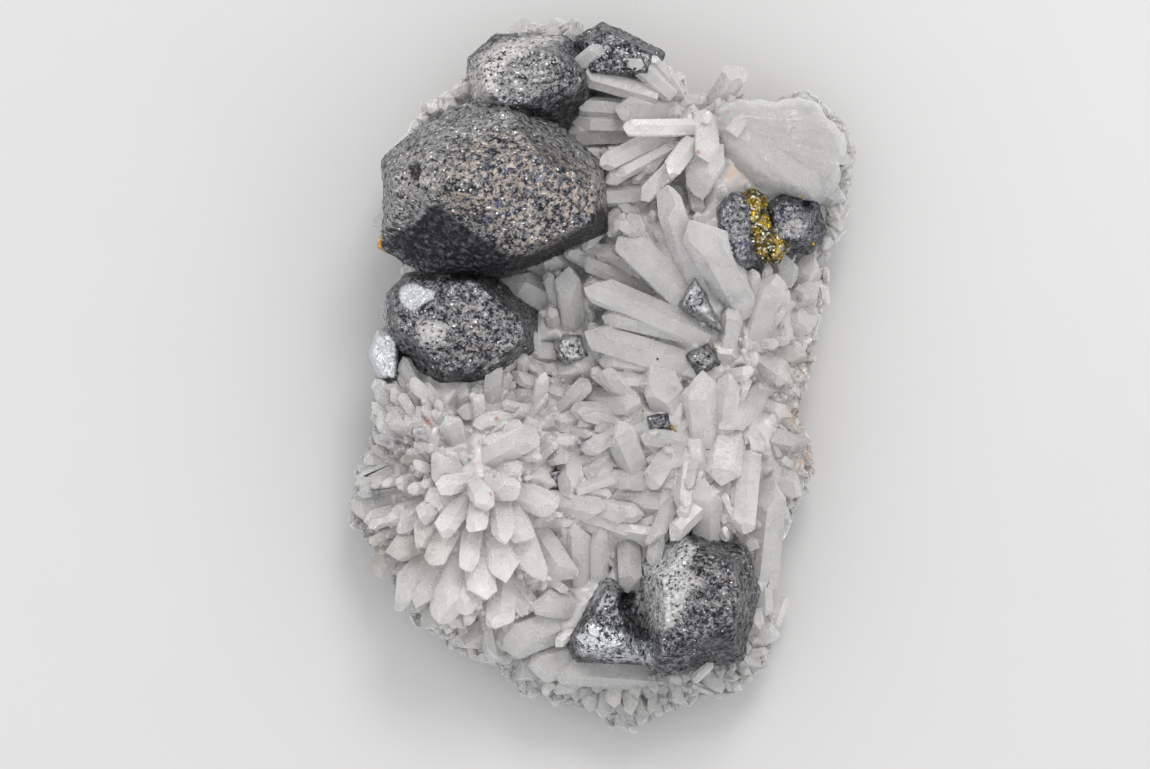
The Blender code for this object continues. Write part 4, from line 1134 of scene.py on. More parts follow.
def smallCrystals(root, tip, width, seed):
    # six sides whose upper corners stand at seeded heights, and six faces from them to the tip
    draw = np.random.default_rng(seed)
    count = len(width)
    axes = crystalAxes(root, tip, draw.uniform(0, fullTurn, count))
    theta = evenAngles(6)
    reach = smallForm["radius"] * width[:, None] * draw.uniform(*smallForm["sides"], (count, 6))
    local = np.zeros((count, 13, 3))
    local[:, 0:6] = np.stack([reach * np.cos(theta), reach * np.sin(theta), np.zeros_like(reach)], axis=2)
    local[:, 6:12] = local[:, 0:6] * smallForm["upper"]
    local[:, 6:12, 2] = axes[3][:, None] - width[:, None] * draw.uniform(*smallForm["shoulder"], (count, 6))
    local[:, 12, :2] = draw.uniform(*smallForm["tipShift"], (count, 2)) * width[:, None]
    local[:, 12, 2] = axes[3]
    k = np.arange(6)
    after = (k + 1) % 6
    sides = np.stack([k, after, 6 + after, 6 + k], axis=1)
    ends = np.stack([6 + k, 6 + after, np.full(6, 12)], axis=1)
    return standCrystals(draw, local, root, axes, [sides, ends, [[5, 4, 3, 2, 1, 0]]])


# The large crystals: tip x, tip y, rise of the tip above the root, root x, root y, width
sprays = {
    "upper": [
        (2.2, 44.7, 9, 16.7, 45, 4.5), (3.7, 41.3, 8, 15, 41.7, 2.7), (-0.3, 35, 7, 12.5, 41.7, 3.4),
        (2, 33.3, 5, 12.5, 39.2, 2.6), (6.7, 29.8, 4, 15, 38, 2.6), (10.8, 33.3, 7, 15, 39, 2.8),
        (-2.3, 30.3, 7, 15, 31.5, 3.5), (11.8, 26.3, 4, 15, 31.3, 2), (9.2, 30.5, 6, 15, 31.5, 2),
        (23.7, 52.5, 6, 19, 45, 4.7), (18, 36, 7, 17.5, 43.3, 3.7), (17.8, 29.5, 3, 17.5, 38, 6.2),
        (-6.3, 41, 2, 9, 41.7, 4.2), (-6.5, 44.5, 5, 7.5, 44.5, 2.2), (-3.2, 49.7, 7, 11.5, 47.5, 3),
        (0, 55, 5, -4, 51.5, 2.2), (4.7, 52.5, 7, 10.5, 48.3, 2.7), (7.2, 54.3, 5, 12, 49.3, 2.4),
        (12, 51.2, 7, 10, 47.5, 2.4), (13.2, 52, 3, 14, 47.5, 2),
    ],
    "right": [
        (42.8, 37.8, 0, 34.5, 36.5, 4.8), (41.6, 30, -1, 35, 33, 4.6),
    ],
    "middle": [
        (10.5, 31.3, 11, 16.3, 14, 4.2), (15.8, 26.5, 14, 24.2, 12.5, 6.6), (3.7, 23.8, 9, 15.5, 12.5, 4.8),
        (-3, 19.3, 5, 10, 14, 2.6), (-2.8, 15.8, 9, 17.5, 7, 4.6), (-2.5, 13.8, 3, 1.5, 11.5, 2.2),
        (-5.7, 18, 8, -4.5, 7.5, 3.9), (-2.7, 7.7, 7, 15.5, 2, 4.6), (-9.5, 19.8, 6, -3.3, 18.8, 2.9),
        (-16.3, 17, 3, -8.3, 12.7, 4.6), (-8.3, 11.7, 4, -7.6, 8.5, 2.2), (-11.7, 4.7, 4, -6.5, 4.3, 2.6),
        (19, 6.2, 3, 23, 3, 3.4), (22.6, 12.5, 3, 21.5, 5, 3.2),
    ],
    "centre": [
        (6.8, -4.2, 6, -5, -3.3, 4.5), (-1.7, -0.3, 4, -7.8, -6.2, 2.8), (2.2, -7, 7, 6.5, -16.5, 4.6),
        (-1.3, -10, 4, -6.3, -8.3, 2), (7, -9.7, 5, 15, -10.8, 2.8), (16.2, 1.3, 7, 17.5, -10.5, 5),
        (21.7, 0.8, 6, 20.8, -9, 4.1), (20, -9, 7, 28, -1.3, 5), (20.2, -18.2, 5, 22, -8.8, 5),
        (17.7, -16.5, 6, 17.7, -27.5, 5.6), (23.7, -26.2, 4, 25, -12.8, 3.8), (28.7, -16.3, 8, 27, -34.5, 6),
        (8.5, 2, 7, 12, -5, 6), (-12.8, 4.3, 5, -13.2, -1.5, 1.8), (-17.5, 2.7, 6, -18.5, -5.5, 2.9),
        (-22.5, -0.8, 4, -22.5, -6, 2.6), (-11.5, -3.5, 4, -14.5, -3, 2.9), (9, -14, 3, 15.5, -13, 3),
        (4, -20, 3, 11.5, -21, 4.4),
    ],
    "edge": [
        (29.7, 17.7, 6, 26, 5.5, 4.1), (31.2, 21.4, 4, 30.5, 16.5, 4.4), (35.7, 21.4, 3, 34, 16, 4.4),
        (37.4, 15.8, 1, 33, 12.5, 4), (36.8, 9.8, 1, 31.5, 8.5, 4), (34.8, 3.5, 2, 28.5, 4, 3.4),
        (31.8, -0.3, 4, 27, 3.5, 3.6), (35.4, -11.5, -1, 28.5, -10, 4.2), (34.4, -18.8, -1, 28.5, -16.5, 4.2),
    ],
    "left": [
        (-10, -8.7, 10, -19.5, -13.5, 4.4), (-13.8, -19, 8, -19, -17.3, 3.8), (-7, -22, 6, -15.5, -18.2, 4),
        (1, -22.3, 3, -9.5, -20.2, 3.8), (-15.7, -27.8, 7, -16.8, -19.5, 4), (-10, -34.3, 4, -15, -20.5, 4.4),
        (-5, -34.2, 2, -11.2, -25, 4.3), (-15.8, -33.7, 6, -17.2, -23.5, 4.7), (-25.5, -5.8, 5, -24, -11.5, 3.4),
        (-18.8, -20.8, 9, -21, -17.5, 3.2), (-12.8, -15.8, 7, -16.5, -15, 3.2), (-5.8, -13, 5, -8.5, -13.5, 2.6),
        (-28.5, -14.5, 7, -23, -15.5, 4.2), (-29, -21, 6, -23, -19.5, 4.4), (-35.4, -38, 3, -25.5, -27.5, 4.6),
        (-30.4, -38.4, 4, -25, -28, 3.4), (-26.7, -40.7, 6, -22.3, -29, 5.6), (-22.8, -39.2, 6, -20.6, -29.5, 3.6),
        (-19.3, -37.3, 7, -20.8, -27, 4), (-16.7, -42.3, 6, -15.8, -31.5, 4.7), (-36, -28.5, 3, -26.5, -26.5, 4.6),
        (-33.6, -25.6, 6, -29, -20.5, 3.4), (-41.8, -22.6, 0, -34.5, -20.5, 4.4), (-40.8, -15.6, 0, -34, -15.5, 4.2),
        (-39, -32.4, -1, -32.5, -29.5, 4.2), (-31.5, -27.8, 7, -25.5, -21.5, 3.8), (-28.2, -31.5, 7, -23.8, -23, 3.6),
        (-26.5, -26, 8, -22.5, -20, 3.4), (-30.5, -23.6, 8, -24.8, -19.3, 3.4), (-22, -31.8, 7, -21, -24, 3.4),
        (-26, -18, 9, -22.5, -17, 3), (-20.5, -25.5, 9, -20, -20, 3.2), (-12.5, -27.5, 7, -15, -20.5, 3.4),
    ],
    "bottom": [
        (-11.3, -37, 5, -4, -38.7, 4), (-3.7, -24, 6, -3.3, -35.5, 3.5), (-0.3, -24.3, 5, -0.2, -35, 3),
        (5.3, -35.8, 3, 4.7, -26.5, 3.8), (-4.7, -20, 6, -5, -12, 4), (0.2, -17.8, 5, 1, -13.5, 3),
        (-16.7, -44.7, 3, -6.5, -40.5, 6), (-7.8, -49, 5, 10, -50.5, 4.8), (-12.2, -48.8, 2, -4.5, -47, 5),
        (-14.5, -50.8, -1, -9.5, -46.5, 4.4), (-24.5, -46, 0, -18, -41.5, 4.4), (-30.5, -41.5, 0, -25, -37.5, 4.2),
        (-6, -54, -1, -3.5, -48, 4), (3.9, -60, -2, 3.7, -54, 3), (7.2, -58.8, -2, 6, -53.5, 3.2),
        (0.6, -57.8, -1, 1.2, -52.5, 3), (10, -57.2, -2, 8.8, -52.5, 2.8), (5.6, -57, 1, 5, -52, 2.6),
        (13.4, -55.4, -1, 12, -50.8, 3), (-2.4, -56.4, -1, -1.4, -51.5, 3), (2.2, -55.5, 2, 2.6, -51, 2.4),
        (20, -53.6, 0, 17.5, -48.5, 5), (27.4, -48.8, 0, 23, -46, 4.6), (30.6, -44, 0, 25.5, -43, 4.2),
    ],
    "top": [
        (-13.2, 60.4, 5, -13, 52, 4.2), (-7.5, 59, 2, -8, 51.5, 4.6), (-38.6, 26.4, 3, -32.5, 27, 3.2),
    ],
}
# Crystals that stand clear of the body: tip x, y, z, root x, y, z, width
perched = [
    (0.2, 55.2, 28.4, -4.2, 51.6, 26, 2.2), (-4.4, 59.4, 17.5, -5.5, 53.5, 16.5, 3.4),
    (-8.2, 60, 16.5, -8, 54.5, 15.5, 3.6), (-13.2, 60.4, 16.5, -13, 54, 14, 3.9),
    (18.8, -47.6, 19.6, 16, -50.6, 15.4, 1.5), (-18.5, 54, 18, -16, 50.5, 17, 2.6),
    (-23, 48.8, 17, -20.5, 46, 16.5, 2.6), (-26.8, 45, 15, -24, 42.5, 15, 2.8),
    (-3.6, 50.8, 25.5, 9.5, 47.2, 23, 3.2), (4.6, 53.4, 28, 11.8, 47.4, 22.5, 2.8),
    (7.6, 54.2, 26, 12.8, 48.3, 22, 2.4), (10.6, 52, 24.5, 13.4, 47.8, 21.5, 2.2),
    (-5, 45.6, 23, 7.5, 44.8, 21, 2.6), (-4.8, 42.6, 22, 9, 42.4, 20.5, 3),
]
# Fields of smaller crystals: x, y, half width and half height of the field, how many, width from and to,
# length in widths from and to, the point they radiate from, the lift in degrees there and at the field's edge
crystalFields = [
    (-21, -18, 16, 17, 380, 0.8, 2.2, 2.0, 4.0, -21, -17, 62, 8),
    (-33, -13, 7, 12, 180, 0.9, 2.4, 2.0, 3.6, -24, -15, 45, 0),
    (-22, -36, 15, 6, 220, 1.0, 2.6, 2.2, 4.0, -20, -22, 30, 0),
    (-4, -49, 16, 8, 230, 1.0, 2.4, 1.8, 3.2, 0, -36, 45, 0),
    (-5, -4, 13, 11, 180, 1.4, 3.2, 2.4, 4.4, 8, -6, 30, 15),
    (16, -12, 13, 15, 180, 1.5, 3.4, 2.4, 4.4, 19, 0, 35, 10),
    (32, 2, 6, 24, 260, 0.8, 2.2, 1.8, 3.6, 22, 2, 30, 0),
    (6, 37, 13, 10, 140, 1.0, 2.4, 2.6, 5.0, 18, 42, 20, 5),
    (26, 14, 8, 9, 130, 1.2, 2.6, 2.2, 4.2, 25, 6, 60, 15),
    (8, 18, 12, 10, 110, 1.2, 2.8, 2.4, 4.8, 20, 8, 25, 10),
    (-12, 14, 12, 8, 90, 1.2, 2.6, 2.2, 4.0, -2, 8, 45, 20),
    (22, -30, 9, 12, 130, 1.4, 3.2, 2.2, 4.2, 24, -15, 25, 10),
    (1, -19, 8, 8, 100, 1.5, 3.0, 2.6, 4.4, -20, -17, 4, -6),
]
druseFields = [
    (0, -2, 40, 56, 600, 0.6, 1.4, 1.4, 2.6, 0, -2, 80, 30),
    (27, 1.5, 6.5, 5, 420, 0.8, 1.3, 1.3, 2.4, 26, -2, 75, 30),
]
fieldForm = {"farthest": 1.2, "turn": 0.28, "liftSpread": 7, "widthPower": 1.4, "sunk": 0.3, "sunkShare": 0.2}
# Ledges of druse: way as x y z points, half width, how many, width from and to, the point they lean away from
druseLedges = [
    ([(-33.6, 37.0, 15), (-31.5, 40.0, 17), (-29.0, 43.0, 18), (-26.0, 44.6, 19), (-23.6, 46.6, 20),
      (-21.6, 49.4, 20), (-19.4, 52.2, 19), (-15.5, 55.6, 17), (-9, 58, 15), (-4, 57.5, 14)],
     1.3, 1000, 1.1, 2.6, -12, 36),
    ([(33, 46.5, 15), (38.5, 43.2, 15), (41, 38, 15), (40.4, 31, 15), (40.3, 27, 14), (37.6, 22.5, 13)],
     1.1, 520, 1.2, 2.8, 27, 34),
    ([(36, 19, 12), (35.5, 10, 12), (33.5, 1, 12), (31, -4, 12), (33.5, -12, 11), (32.5, -20, 10), (29, -30, 9)],
     2.0, 600, 0.8, 1.9, 20, -2),
    ([(26, -44, 9), (24, -50, 9), (14, -53, 9), (7, -56, 8), (1, -55.5, 8), (-8, -52.5, 9), (-16, -49, 9)],
     2.0, 760, 0.8, 1.9, 5, -38),
    ([(-17, -48, 9), (-24, -43, 9), (-30, -39, 9), (-35, -33, 9), (-38, -26, 10), (-39, -18, 10), (-36, -10, 10),
      (-35, -3, 9)], 2.0, 700, 0.8, 2.0, -20, -20),
]
ledgeForm = {
    "spread": 0.7, "widthPower": 1.5, "turn": 0.6, "lift": (-5, 75), "stretch": (0.9, 2.0), "rootDepth": 1.5,
    "slack": 0.7,
}
rimDruse = {
    "count": 1500, "width": (1.1, 3.0), "stretch": (0.9, 1.8), "lift": (-8, 45), "share": (0.91, 0.995), "low": 5.0,
    "high": 1.0, "turn": 0.35, "inward": 0.93,
}
# Crystals that grow below the large ones, their way turned in radians to either side
underlay = {
    "count": 4, "turn": (0.12, 0.55), "stretch": (0.55, 0.98), "lower": (0.0, 1.4), "width": (0.4, 0.9), "spread": 0.5,
    "sunk": -0.25,
}
# The milky webs that fill the spaces under and between the large crystals
webs = {
    "level": -0.1, "rootLevel": 0.5, "slope": 0.6, "share": 0.65, "free": 0.4,
    "cover": -0.15, "rootCover": 0.75, "climb": 1.3, "coverFree": 0.5,
    "rootReach": 0.35, "softness": 0.7, "highest": 60.0,
}
# Places that small crystals leave open in front of the small ores: x, y, radius
openPlaces = [(9.8, -7.4, 3.0), (-4.6, 4.7, 3.6), (-7.3, -17.0, 2.6), (17.1, 3.1, 3.4), (17.0, 12.0, 4.0)]
clearance = {  # the shares of a crystal's length at which it's tested
    "large": (0.7, 1.0), "largeWidth": 0.42, "ore": (0.45, 0.75, 1.0), "open": (0.3, 0.5, 0.7, 0.85, 1.0), "slack": 0.2,
}


def rowsToCrystals(rows):
    # roots sit below the quartz body's surface by a share of the width, tips stand at their own rise above the root
    tipX, tipY, rise, rootX, rootY, width = np.array(rows, dtype=float).T
    rootZ = bodyHeight(rootX, rootY) - crystalForm["rootDepth"] * width + crystalForm["raised"]
    return np.stack([rootX, rootY, rootZ], axis=1), np.stack([tipX, tipY, rootZ + rise], axis=1), width


def largeCrystals():
    # every large crystal's root, tip and width
    for rows in sprays.values():
        yield from zip(*rowsToCrystals(rows))


def alongAxis(x, y, root, tip):
    # share of the way from root to tip that lies nearest in plan
    run = (tip - root)[:2]
    return np.clip(((x - root[0]) * run[0] + (y - root[1]) * run[1]) / (run @ run), 0, 1)


def besideAxis(x, y, root, tip, share):
    # distance in plan from the place at that share of the way
    run = (tip - root)[:2]
    return np.hypot(x - root[0] - share * run[0], y - root[1] - share * run[1])


def webbedHeight(x, y):
    # soft maximum of the body and of a web at each large crystal, axis + lift * width - slope * distance beside it, cut
    # down where a large crystal lies to its axis + lift * width + climb * distance beside it; lift falls from its value
    # at the root as (1 - share / reach) ^ 2, so the mass buries the crystals' roots
    def besideSurface(share, level, rootLevel, slope, free):
        lift = level + (rootLevel - level) * np.maximum(0, 1 - share / webs["rootReach"]) ** 2
        beside = np.maximum(besideAxis(x, y, root, tip, share) - free * width, 0)
        return root[2] + share * (tip[2] - root[2]) + lift * width + slope * beside

    ground = bodyHeight(x, y) - body["sunk"]
    for fill in body["fills"]:
        ground = ground + hump(x, y, fill)
    total = np.exp(ground / webs["softness"])
    ceiling = np.full(x.shape, np.inf)
    for root, tip, width in largeCrystals():
        along = alongAxis(x, y, root, tip)
        web = besideSurface(
            np.minimum(along, webs["share"]), webs["level"], webs["rootLevel"], -webs["slope"], webs["free"],
        )
        total = total + np.exp(np.minimum(web, webs["highest"]) / webs["softness"])
        cover = besideSurface(along, webs["cover"], webs["rootCover"], webs["climb"], webs["coverFree"])
        ceiling = np.minimum(ceiling, cover)
    return np.minimum(webs["softness"] * np.log(total), ceiling)


def clearOfLarge(root, tip, width):
    # drops a small crystal whose tip stands above the axis of a large one that lies there
    keep = np.ones(len(width), dtype=bool)
    for start, end, thick in largeCrystals():
        for share in clearance["large"]:
            x, y, z = (root + (tip - root) * share).T
            along = alongAxis(x, y, start, end)
            close = besideAxis(x, y, start, end, along) < clearance["largeWidth"] * thick
            keep &= ~(close & (z > start[2] + along * (end[2] - start[2])))
    return root[keep], tip[keep], width[keep]


def clearOfOre(root, tip, width, slack=clearance["slack"]):
    # drops a crystal whose outer part would stand inside an ore lobe, over an open place, or outside the outline
    keep = np.ones(len(width), dtype=bool)
    for share in clearance["ore"]:
        for lobe in lobes.values():
            keep &= ~insideLobe(root + (tip - root) * share, lobe)
    for share in clearance["open"]:
        spot = root + (tip - root) * share
        for x, y, radius in openPlaces:
            keep &= np.hypot(spot[:, 0] - x, spot[:, 1] - y) > radius
    across = tip[:, :2] - body["centre"]
    keep &= np.hypot(across[:, 0], across[:, 1]) < outlineReach(np.arctan2(across[:, 1], across[:, 0])) + slack
    return root[keep], tip[keep], width[keep]


def joinSets(sets):
    # all roots, all tips and all widths of several sets of crystals
    return tuple(np.concatenate(parts) for parts in zip(*sets))


def addUnderlay(root, tip, width, seed):
    # crystals below each large one: its way turned by a seeded angle in plan, shortened, and with a lower tip
    draw = np.random.default_rng(seed)
    root, tip, width = (np.repeat(values, underlay["count"], axis=0) for values in (root, tip, width))
    total = len(width)
    angle = draw.uniform(*underlay["turn"], total) * draw.choice([-1, 1], total)
    stretch = draw.uniform(*underlay["stretch"], total)
    x, y, z = (tip - root).T
    cosine, sine = np.cos(angle), np.sin(angle)
    way = np.stack([x * cosine - y * sine, x * sine + y * cosine, z], axis=1) * stretch[:, None]
    way[:, 2] -= draw.uniform(*underlay["lower"], total)
    thin = width * draw.uniform(*underlay["width"], total)
    shift = [draw.normal(0, underlay["spread"], total), draw.normal(0, underlay["spread"], total)]
    start = root + np.stack([*shift, underlay["sunk"] * width], axis=1)
    return start, start + way, thin


def scatterField(field, seed):
    # roots at seeded places inside an ellipse; each crystal leans away from the field's centre, more when farther out
    x, y, halfX, halfY, count, thin, thick, short, tall, fromX, fromY, liftIn, liftOut = field
    farthest = fieldForm["farthest"]
    draw = np.random.default_rng(seed)
    radius, angle = np.sqrt(draw.uniform(0, 1, count)), draw.uniform(0, fullTurn, count)
    rootX, rootY = x + halfX * radius * np.cos(angle), y + halfY * radius * np.sin(angle)
    far = np.minimum(np.hypot((rootX - fromX) / halfX, (rootY - fromY) / halfY), farthest) / farthest
    heading = np.arctan2(rootY - fromY, rootX - fromX) + draw.normal(0, fieldForm["turn"], count)
    lift = np.radians(liftIn + (liftOut - liftIn) * far + draw.normal(0, fieldForm["liftSpread"], count))
    width = thin + (thick - thin) * draw.uniform(0, 1, count) ** fieldForm["widthPower"]
    length = width * draw.uniform(short, tall, count)
    rootZ = webbedHeight(rootX, rootY) - fieldForm["sunk"] - fieldForm["sunkShare"] * width
    root = np.stack([rootX, rootY, rootZ], axis=1)
    way = direction(heading, lift)
    return root - way * width[:, None], root + way * length[:, None], width


def scatterRim(seed):
    # seeded places along the outline: each tip stands at a share of the outline's distance and the root lies inward
    draw = np.random.default_rng(seed)
    count = rimDruse["count"]
    angle = draw.uniform(0, fullTurn, count)
    reach = outlineReach(angle) * draw.uniform(*rimDruse["share"], count)
    width = draw.uniform(*rimDruse["width"], count)
    length = width * draw.uniform(*rimDruse["stretch"], count)
    length = length + np.maximum(reach - reachAt(body["reach"], angle), 0)
    heading = angle + draw.normal(0, rimDruse["turn"], count)
    way = direction(heading, np.radians(draw.uniform(*rimDruse["lift"], count)))
    tip = body["centre"] + reach[:, None] * np.stack([np.cos(angle), np.sin(angle)], axis=1)
    inner = body["centre"] + (tip - body["centre"]) * rimDruse["inward"]
    above = bodyHeight(inner[:, 0], inner[:, 1]) + rimDruse["high"] - rimDruse["low"]
    level = rimDruse["low"] + above * draw.uniform(0, 1, count)
    tip = np.concatenate([tip, level[:, None]], axis=1)
    return tip - way * length[:, None], tip, width


def scatterLedge(ledge, seed):
    # seeded places beside a way of straight parts; each crystal leans away from the given point by a seeded lift
    way, half, count, thin, thick, fromX, fromY = ledge
    draw = np.random.default_rng(seed)
    way = np.array(way, dtype=float)
    passed = np.concatenate([[0], np.cumsum(np.linalg.norm(np.diff(way, axis=0), axis=1))])
    reached = draw.uniform(0, passed[-1], count)
    root = np.stack([np.interp(reached, passed, way[:, axis]) for axis in range(3)], axis=1)
    root += draw.normal(0, 1, (count, 3)) * half * ledgeForm["spread"]
    width = thin + (thick - thin) * draw.uniform(0, 1, count) ** ledgeForm["widthPower"]
    heading = np.arctan2(root[:, 1] - fromY, root[:, 0] - fromX) + draw.normal(0, ledgeForm["turn"], count)
    lean = direction(heading, np.radians(draw.uniform(*ledgeForm["lift"], count)))
    length = width * draw.uniform(*ledgeForm["stretch"], count)
    return root - lean * (ledgeForm["rootDepth"] * width)[:, None], root + lean * length[:, None], width


# The broad mass at the upper right, where flat crystals have grown together into a fan
fan = {
    "centre": (30.0, 39.0), "hub": (18.5, 43.0), "sectors": 220, "rings": 72, "ringSpacing": 1.3,
    "low": 9.0, "rise": 2.6, "fall": 0.16, "slope": 0.42, "edge": 7,
    "reach": [  # every 15 degrees from +X anticlockwise
        12.2, 11.4, 10.0, 10.2, 9.8, 8.7, 7.6, 8.0, 9.2, 11.2, 13.5, 13.0,
        12.5, 11.8, 10.3, 9.5, 9.3, 8.8, 8.9, 9.8, 12.0, 13.2, 12.8, 11.8,
    ],
    "blades": 15, "spread": (-66, 24), "turn": (-3, 3), "bladeWidth": (2.2, 4.0), "flat": 0.3,
    "bladeLength": (13, 25), "bladeStep": 0.8, "endSlope": 0.6, "seed": 7,
    "under": [(0.5, 3.0), (0.8, 2.6), (0.93, 1.6)], "side": 0.03, "sideRings": 6,  # share and depth below the edge
    "edgeWaves": [(0.035, 8, 3.2), (0.02, 9, 1.4)], "waves": [(0.16, 12, 3.6), (0.06, 13, 1.7)],
    "facets": (1.6, 35, 0.9), "facetAmount": 0.06, "calmDepth": 2, "calmHeight": 3.0,
    "tone": 1.25, "toneWaves": [(0.1, 14, 6.0)], "alongScale": 20.0,
}


def fanTop(x, y):
    # the highest of seeded flat roofs that radiate from the hub: level - slope * distance beside the ridge, less past
    # its end
    draw = np.random.default_rng(fan["seed"])
    dx, dy = x - fan["hub"][0], y - fan["hub"][1]
    hubLevel = bodyHeight(*fan["hub"]) + fan["rise"]
    top = np.full(x.shape, -np.inf)
    for heading in np.radians(np.linspace(*fan["spread"], fan["blades"]) + draw.uniform(*fan["turn"], fan["blades"])):
        along = dx * math.cos(heading) + dy * math.sin(heading)
        beside = np.abs(dy * math.cos(heading) - dx * math.sin(heading))
        level = hubLevel + draw.uniform(-1, 1) * fan["bladeStep"] - fan["fall"] * along
        flat = fan["flat"] * draw.uniform(*fan["bladeWidth"])
        end = np.maximum(along - draw.uniform(*fan["bladeLength"]), 0)
        top = np.maximum(top, level - fan["slope"] * np.maximum(beside - flat, 0) - fan["endSlope"] * end)
    return top


def fanSurface():
    # low + (top - low) * sqrt(1 - share ^ edge) over rings at shares of the reach, and rough along the normal
    sectors = fan["sectors"]
    angle = evenAngles(sectors)
    reach = reachAt(fan["reach"], angle)
    edge = np.stack([np.cos(angle), np.sin(angle), 0 * angle], axis=1) * reach[:, None]
    reach = reach * (1 + waveSum(edge, fan["edgeWaves"]))
    under, depths = np.array(fan["under"]).T
    side = np.sqrt(1 - (1 - np.linspace(0, 1, fan["sideRings"])) ** 2)[1:] * fan["side"] + 1 - fan["side"]
    top = np.linspace(1, 0, fan["rings"] + 1)[1:-1] ** fan["ringSpacing"]
    shares = np.concatenate([under, side, top])

    def levels(x, y):
        away = np.hypot(x - fan["centre"][0], y - fan["centre"][1]) / reach[None, :]
        fall = np.sqrt(np.maximum(1 - np.minimum(away, 1.0) ** fan["edge"], 0))
        z = fan["low"] + (fanTop(x, y) - fan["low"]) * fall
        z[: len(under)] = fan["low"] - depths[:, None]
        return z

    points, normal = domeGrid(fan["centre"], reach, shares, levels)
    rough = waveSum(points, fan["waves"]) + fan["facetAmount"] * cellFacets(points, *fan["facets"])
    above = np.maximum(points[:, 2] - fan["low"] + fan["calmDepth"], 0)
    points = points + normal * (rough * np.minimum(above / fan["calmHeight"], 1.0))[:, None]
    points = np.concatenate([points, [points[:sectors].mean(axis=0)], [points[-sectors:].mean(axis=0)]])
    tone = fan["tone"] + waveSum(points, fan["toneWaves"])
    return points, domeFaces(len(shares), sectors), {"tone": tone, "along": points[:, 0] / fan["alongScale"]}


quartzForm = {
    "smallest": 1.3,  # crystals thinner than this get the simpler form
    "bevels": {"spray": (0.34, 3), "perched": (0.25, 3), "underlay": (0.22, 1), "field": (0.13, 1)},  # width, segments
    "bevelAngle": 25, "tone": 0.22, "smallTone": 0.25,
    "underlaySeed": 70, "pointedSeed": 90, "smallSeed": 130, "fieldSeed": 200, "druseSeed": 300, "ledgeSeed": 350,
    "rimSeed": 400,
}


def roundEdges(piece, width, segments):
    # rounds each edge whose faces turn by more than the angle
    modifier = piece.modifiers.new("edges", "BEVEL")
    modifier.width = width * mm
    modifier.segments = segments
    modifier.limit_method = "ANGLE"
    modifier.angle_limit = math.radians(quartzForm["bevelAngle"])
    modifier.harden_normals = True


def crystalPiece(name, surface, toneShare, material, smooth):
    # nothing goes below the flat back; tone = share * the crystal's own tone + the place's greyness
    points, faces, values = surface
    points[:, 2] = np.maximum(points[:, 2], 0)
    values["tone"] = toneShare * values["tone"] + greyness(points)
    return makePiece(name, points, faces, material, smooth=smooth, values=values)


def clearSets(scatter, rows, seed, *slack):
    # one scattered set for each row, without the crystals that stand in an ore or above a large crystal
    return [clearOfLarge(*clearOfOre(*scatter(row, seed + n), *slack)) for n, row in enumerate(rows)]


def makeQuartz():
    # the body and the fan, the sprays of large crystals with smaller ones below them, then fields, druse and rim
    form = quartzForm
    pieces = [makePiece(name, points, faces, material, values=values) for name, (points, faces, values), material in (
        ("quartzBody", bodySurface(), quartzRock), ("quartzFan", fanSurface(), milkyQuartz),
    )]
    lower = [addUnderlay(*rowsToCrystals(rows), form["underlaySeed"] + n) for n, rows in enumerate(sprays.values())]
    field = joinSets(clearSets(scatterField, crystalFields, form["fieldSeed"]))
    wide = field[2] > form["smallest"]
    table = np.array(perched)
    sets = {"quartzSpray_" + name: (rowsToCrystals(rows), "spray") for name, rows in sprays.items()}
    sets["quartzPerched"] = ((table[:, 3:6], table[:, :3], table[:, 6]), "perched")
    sets["quartzUnderlay"] = (clearOfLarge(*clearOfOre(*joinSets(lower))), "underlay")
    sets["quartzField"] = (tuple(part[wide] for part in field), "field")
    for number, (name, (crystals, kind)) in enumerate(sets.items()):
        surface = pointedCrystals(*crystals, form["pointedSeed"] + number)
        pieces.append(crystalPiece(name, surface, form["tone"], milkyQuartz, True))
        roundEdges(pieces[-1], *form["bevels"][kind])
    druse = clearSets(scatterField, druseFields, form["druseSeed"])
    druse += clearSets(scatterLedge, druseLedges, form["ledgeSeed"], ledgeForm["slack"])
    druse.append(tuple(part[~wide] for part in field))
    rim = [clearOfOre(*scatterRim(form["rimSeed"]))]
    for name, parts, material in (("quartzDruse", druse, milkyQuartz), ("quartzRim", rim, glassyQuartz)):
        surface = smallCrystals(*joinSets(parts), form["smallSeed"])
        pieces.append(crystalPiece(name, surface, form["smallTone"], material, False))
    for piece in pieces:
        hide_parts("quartz_matrix")


makeQuartz()
print("quartz crystals made")


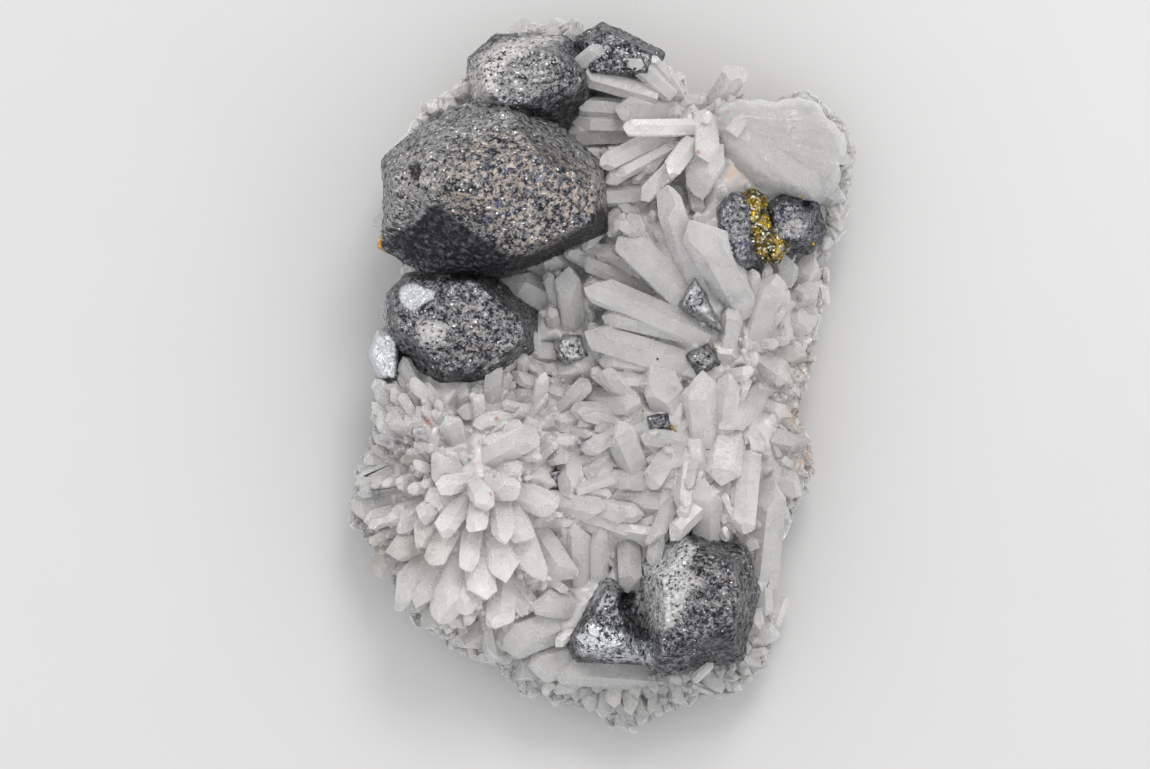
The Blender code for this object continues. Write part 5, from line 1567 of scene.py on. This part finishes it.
studio = {
    "floor": (0.42, 0.415, 0.41), "floorSize": 3.0, "floorMottle": (8.0, 0.2, 0.8), "floorShade": 0.97,
    "floorRoughness": 0.7, "world": (0.97, 0.98, 1.0), "worldStrength": 1.5,
    "lights": [  # name, place, size, power, colour
        ("keyLight", (0.15, 0.55, 0.75), 0.3, 4.5, (1.0, 0.985, 0.96)),
        ("leftLight", (-0.6, 0.1, 0.6), 0.3, 4.0, (0.96, 0.98, 1.0)),
        ("rightLight", (0.6, -0.35, 0.6), 0.3, 2.0, (1.0, 0.99, 0.97)),
    ],
    "lightAim": (0, 0, 0.02), "lens": 200.0, "sensor": 36.0, "distance": 1.065, "aim": (-0.00417, -0.00108, 0.025),
}


def makeFloor():
    # a square at the height of the flat back, with clouds between two near shades
    half = studio["floorSize"] / 2
    mesh = bpy.data.meshes.new("floor")
    mesh.from_pydata([(-half, -half, 0), (half, -half, 0), (half, half, 0), (-half, half, 0)], [], [(0, 1, 2, 3)])
    material, tree, shader, place = newMaterial("paleFloor")
    clouds = mottleMask(tree, place, *studio["floorMottle"])
    shaded = tuple(studio["floorShade"] * c for c in studio["floor"])
    feed(tree, shader, {
        "Base Color": mixColour(tree, clouds, studio["floor"], shaded), "Roughness": studio["floorRoughness"],
    })
    mesh.materials.append(material)
    floor = addObject("floor", mesh)


def makeLights():
    # square lights, each turned from straight down by the angles of the way to the aim, and an even world
    for name, place, size, power, colour in studio["lights"]:
        light = bpy.data.lights.new(name, "AREA")
        light.size = size
        light.energy = power
        light.color = colour
        lamp = addObject(name, light)
        lamp.location = place
        x, y, z = np.array(studio["lightAim"]) - np.array(place)
        lamp.rotation_euler = (math.atan2(math.hypot(x, y), -z), 0, math.pi - math.atan2(x, -y))
    world = bpy.data.worlds.new("studioWorld")
    world.use_nodes = True
    background = world.node_tree.nodes["Background"]
    background.inputs[0].default_value = (*studio["world"], 1.0)
    background.inputs[1].default_value = studio["worldStrength"]
    bpy.context.scene.world = world


def makeCamera():
    # straight above the aim, looking down
    camera = bpy.data.cameras.new("camera")
    camera.lens = studio["lens"]
    camera.sensor_width = studio["sensor"]
    view = addObject("camera", camera)
    x, y, z = studio["aim"]
    view.location = (x, y, z + studio["distance"])
    bpy.context.scene.camera = view
    bpy.context.scene.view_settings.view_transform = "Standard"


makeFloor()
makeLights()
makeCamera()
print("studio ready")
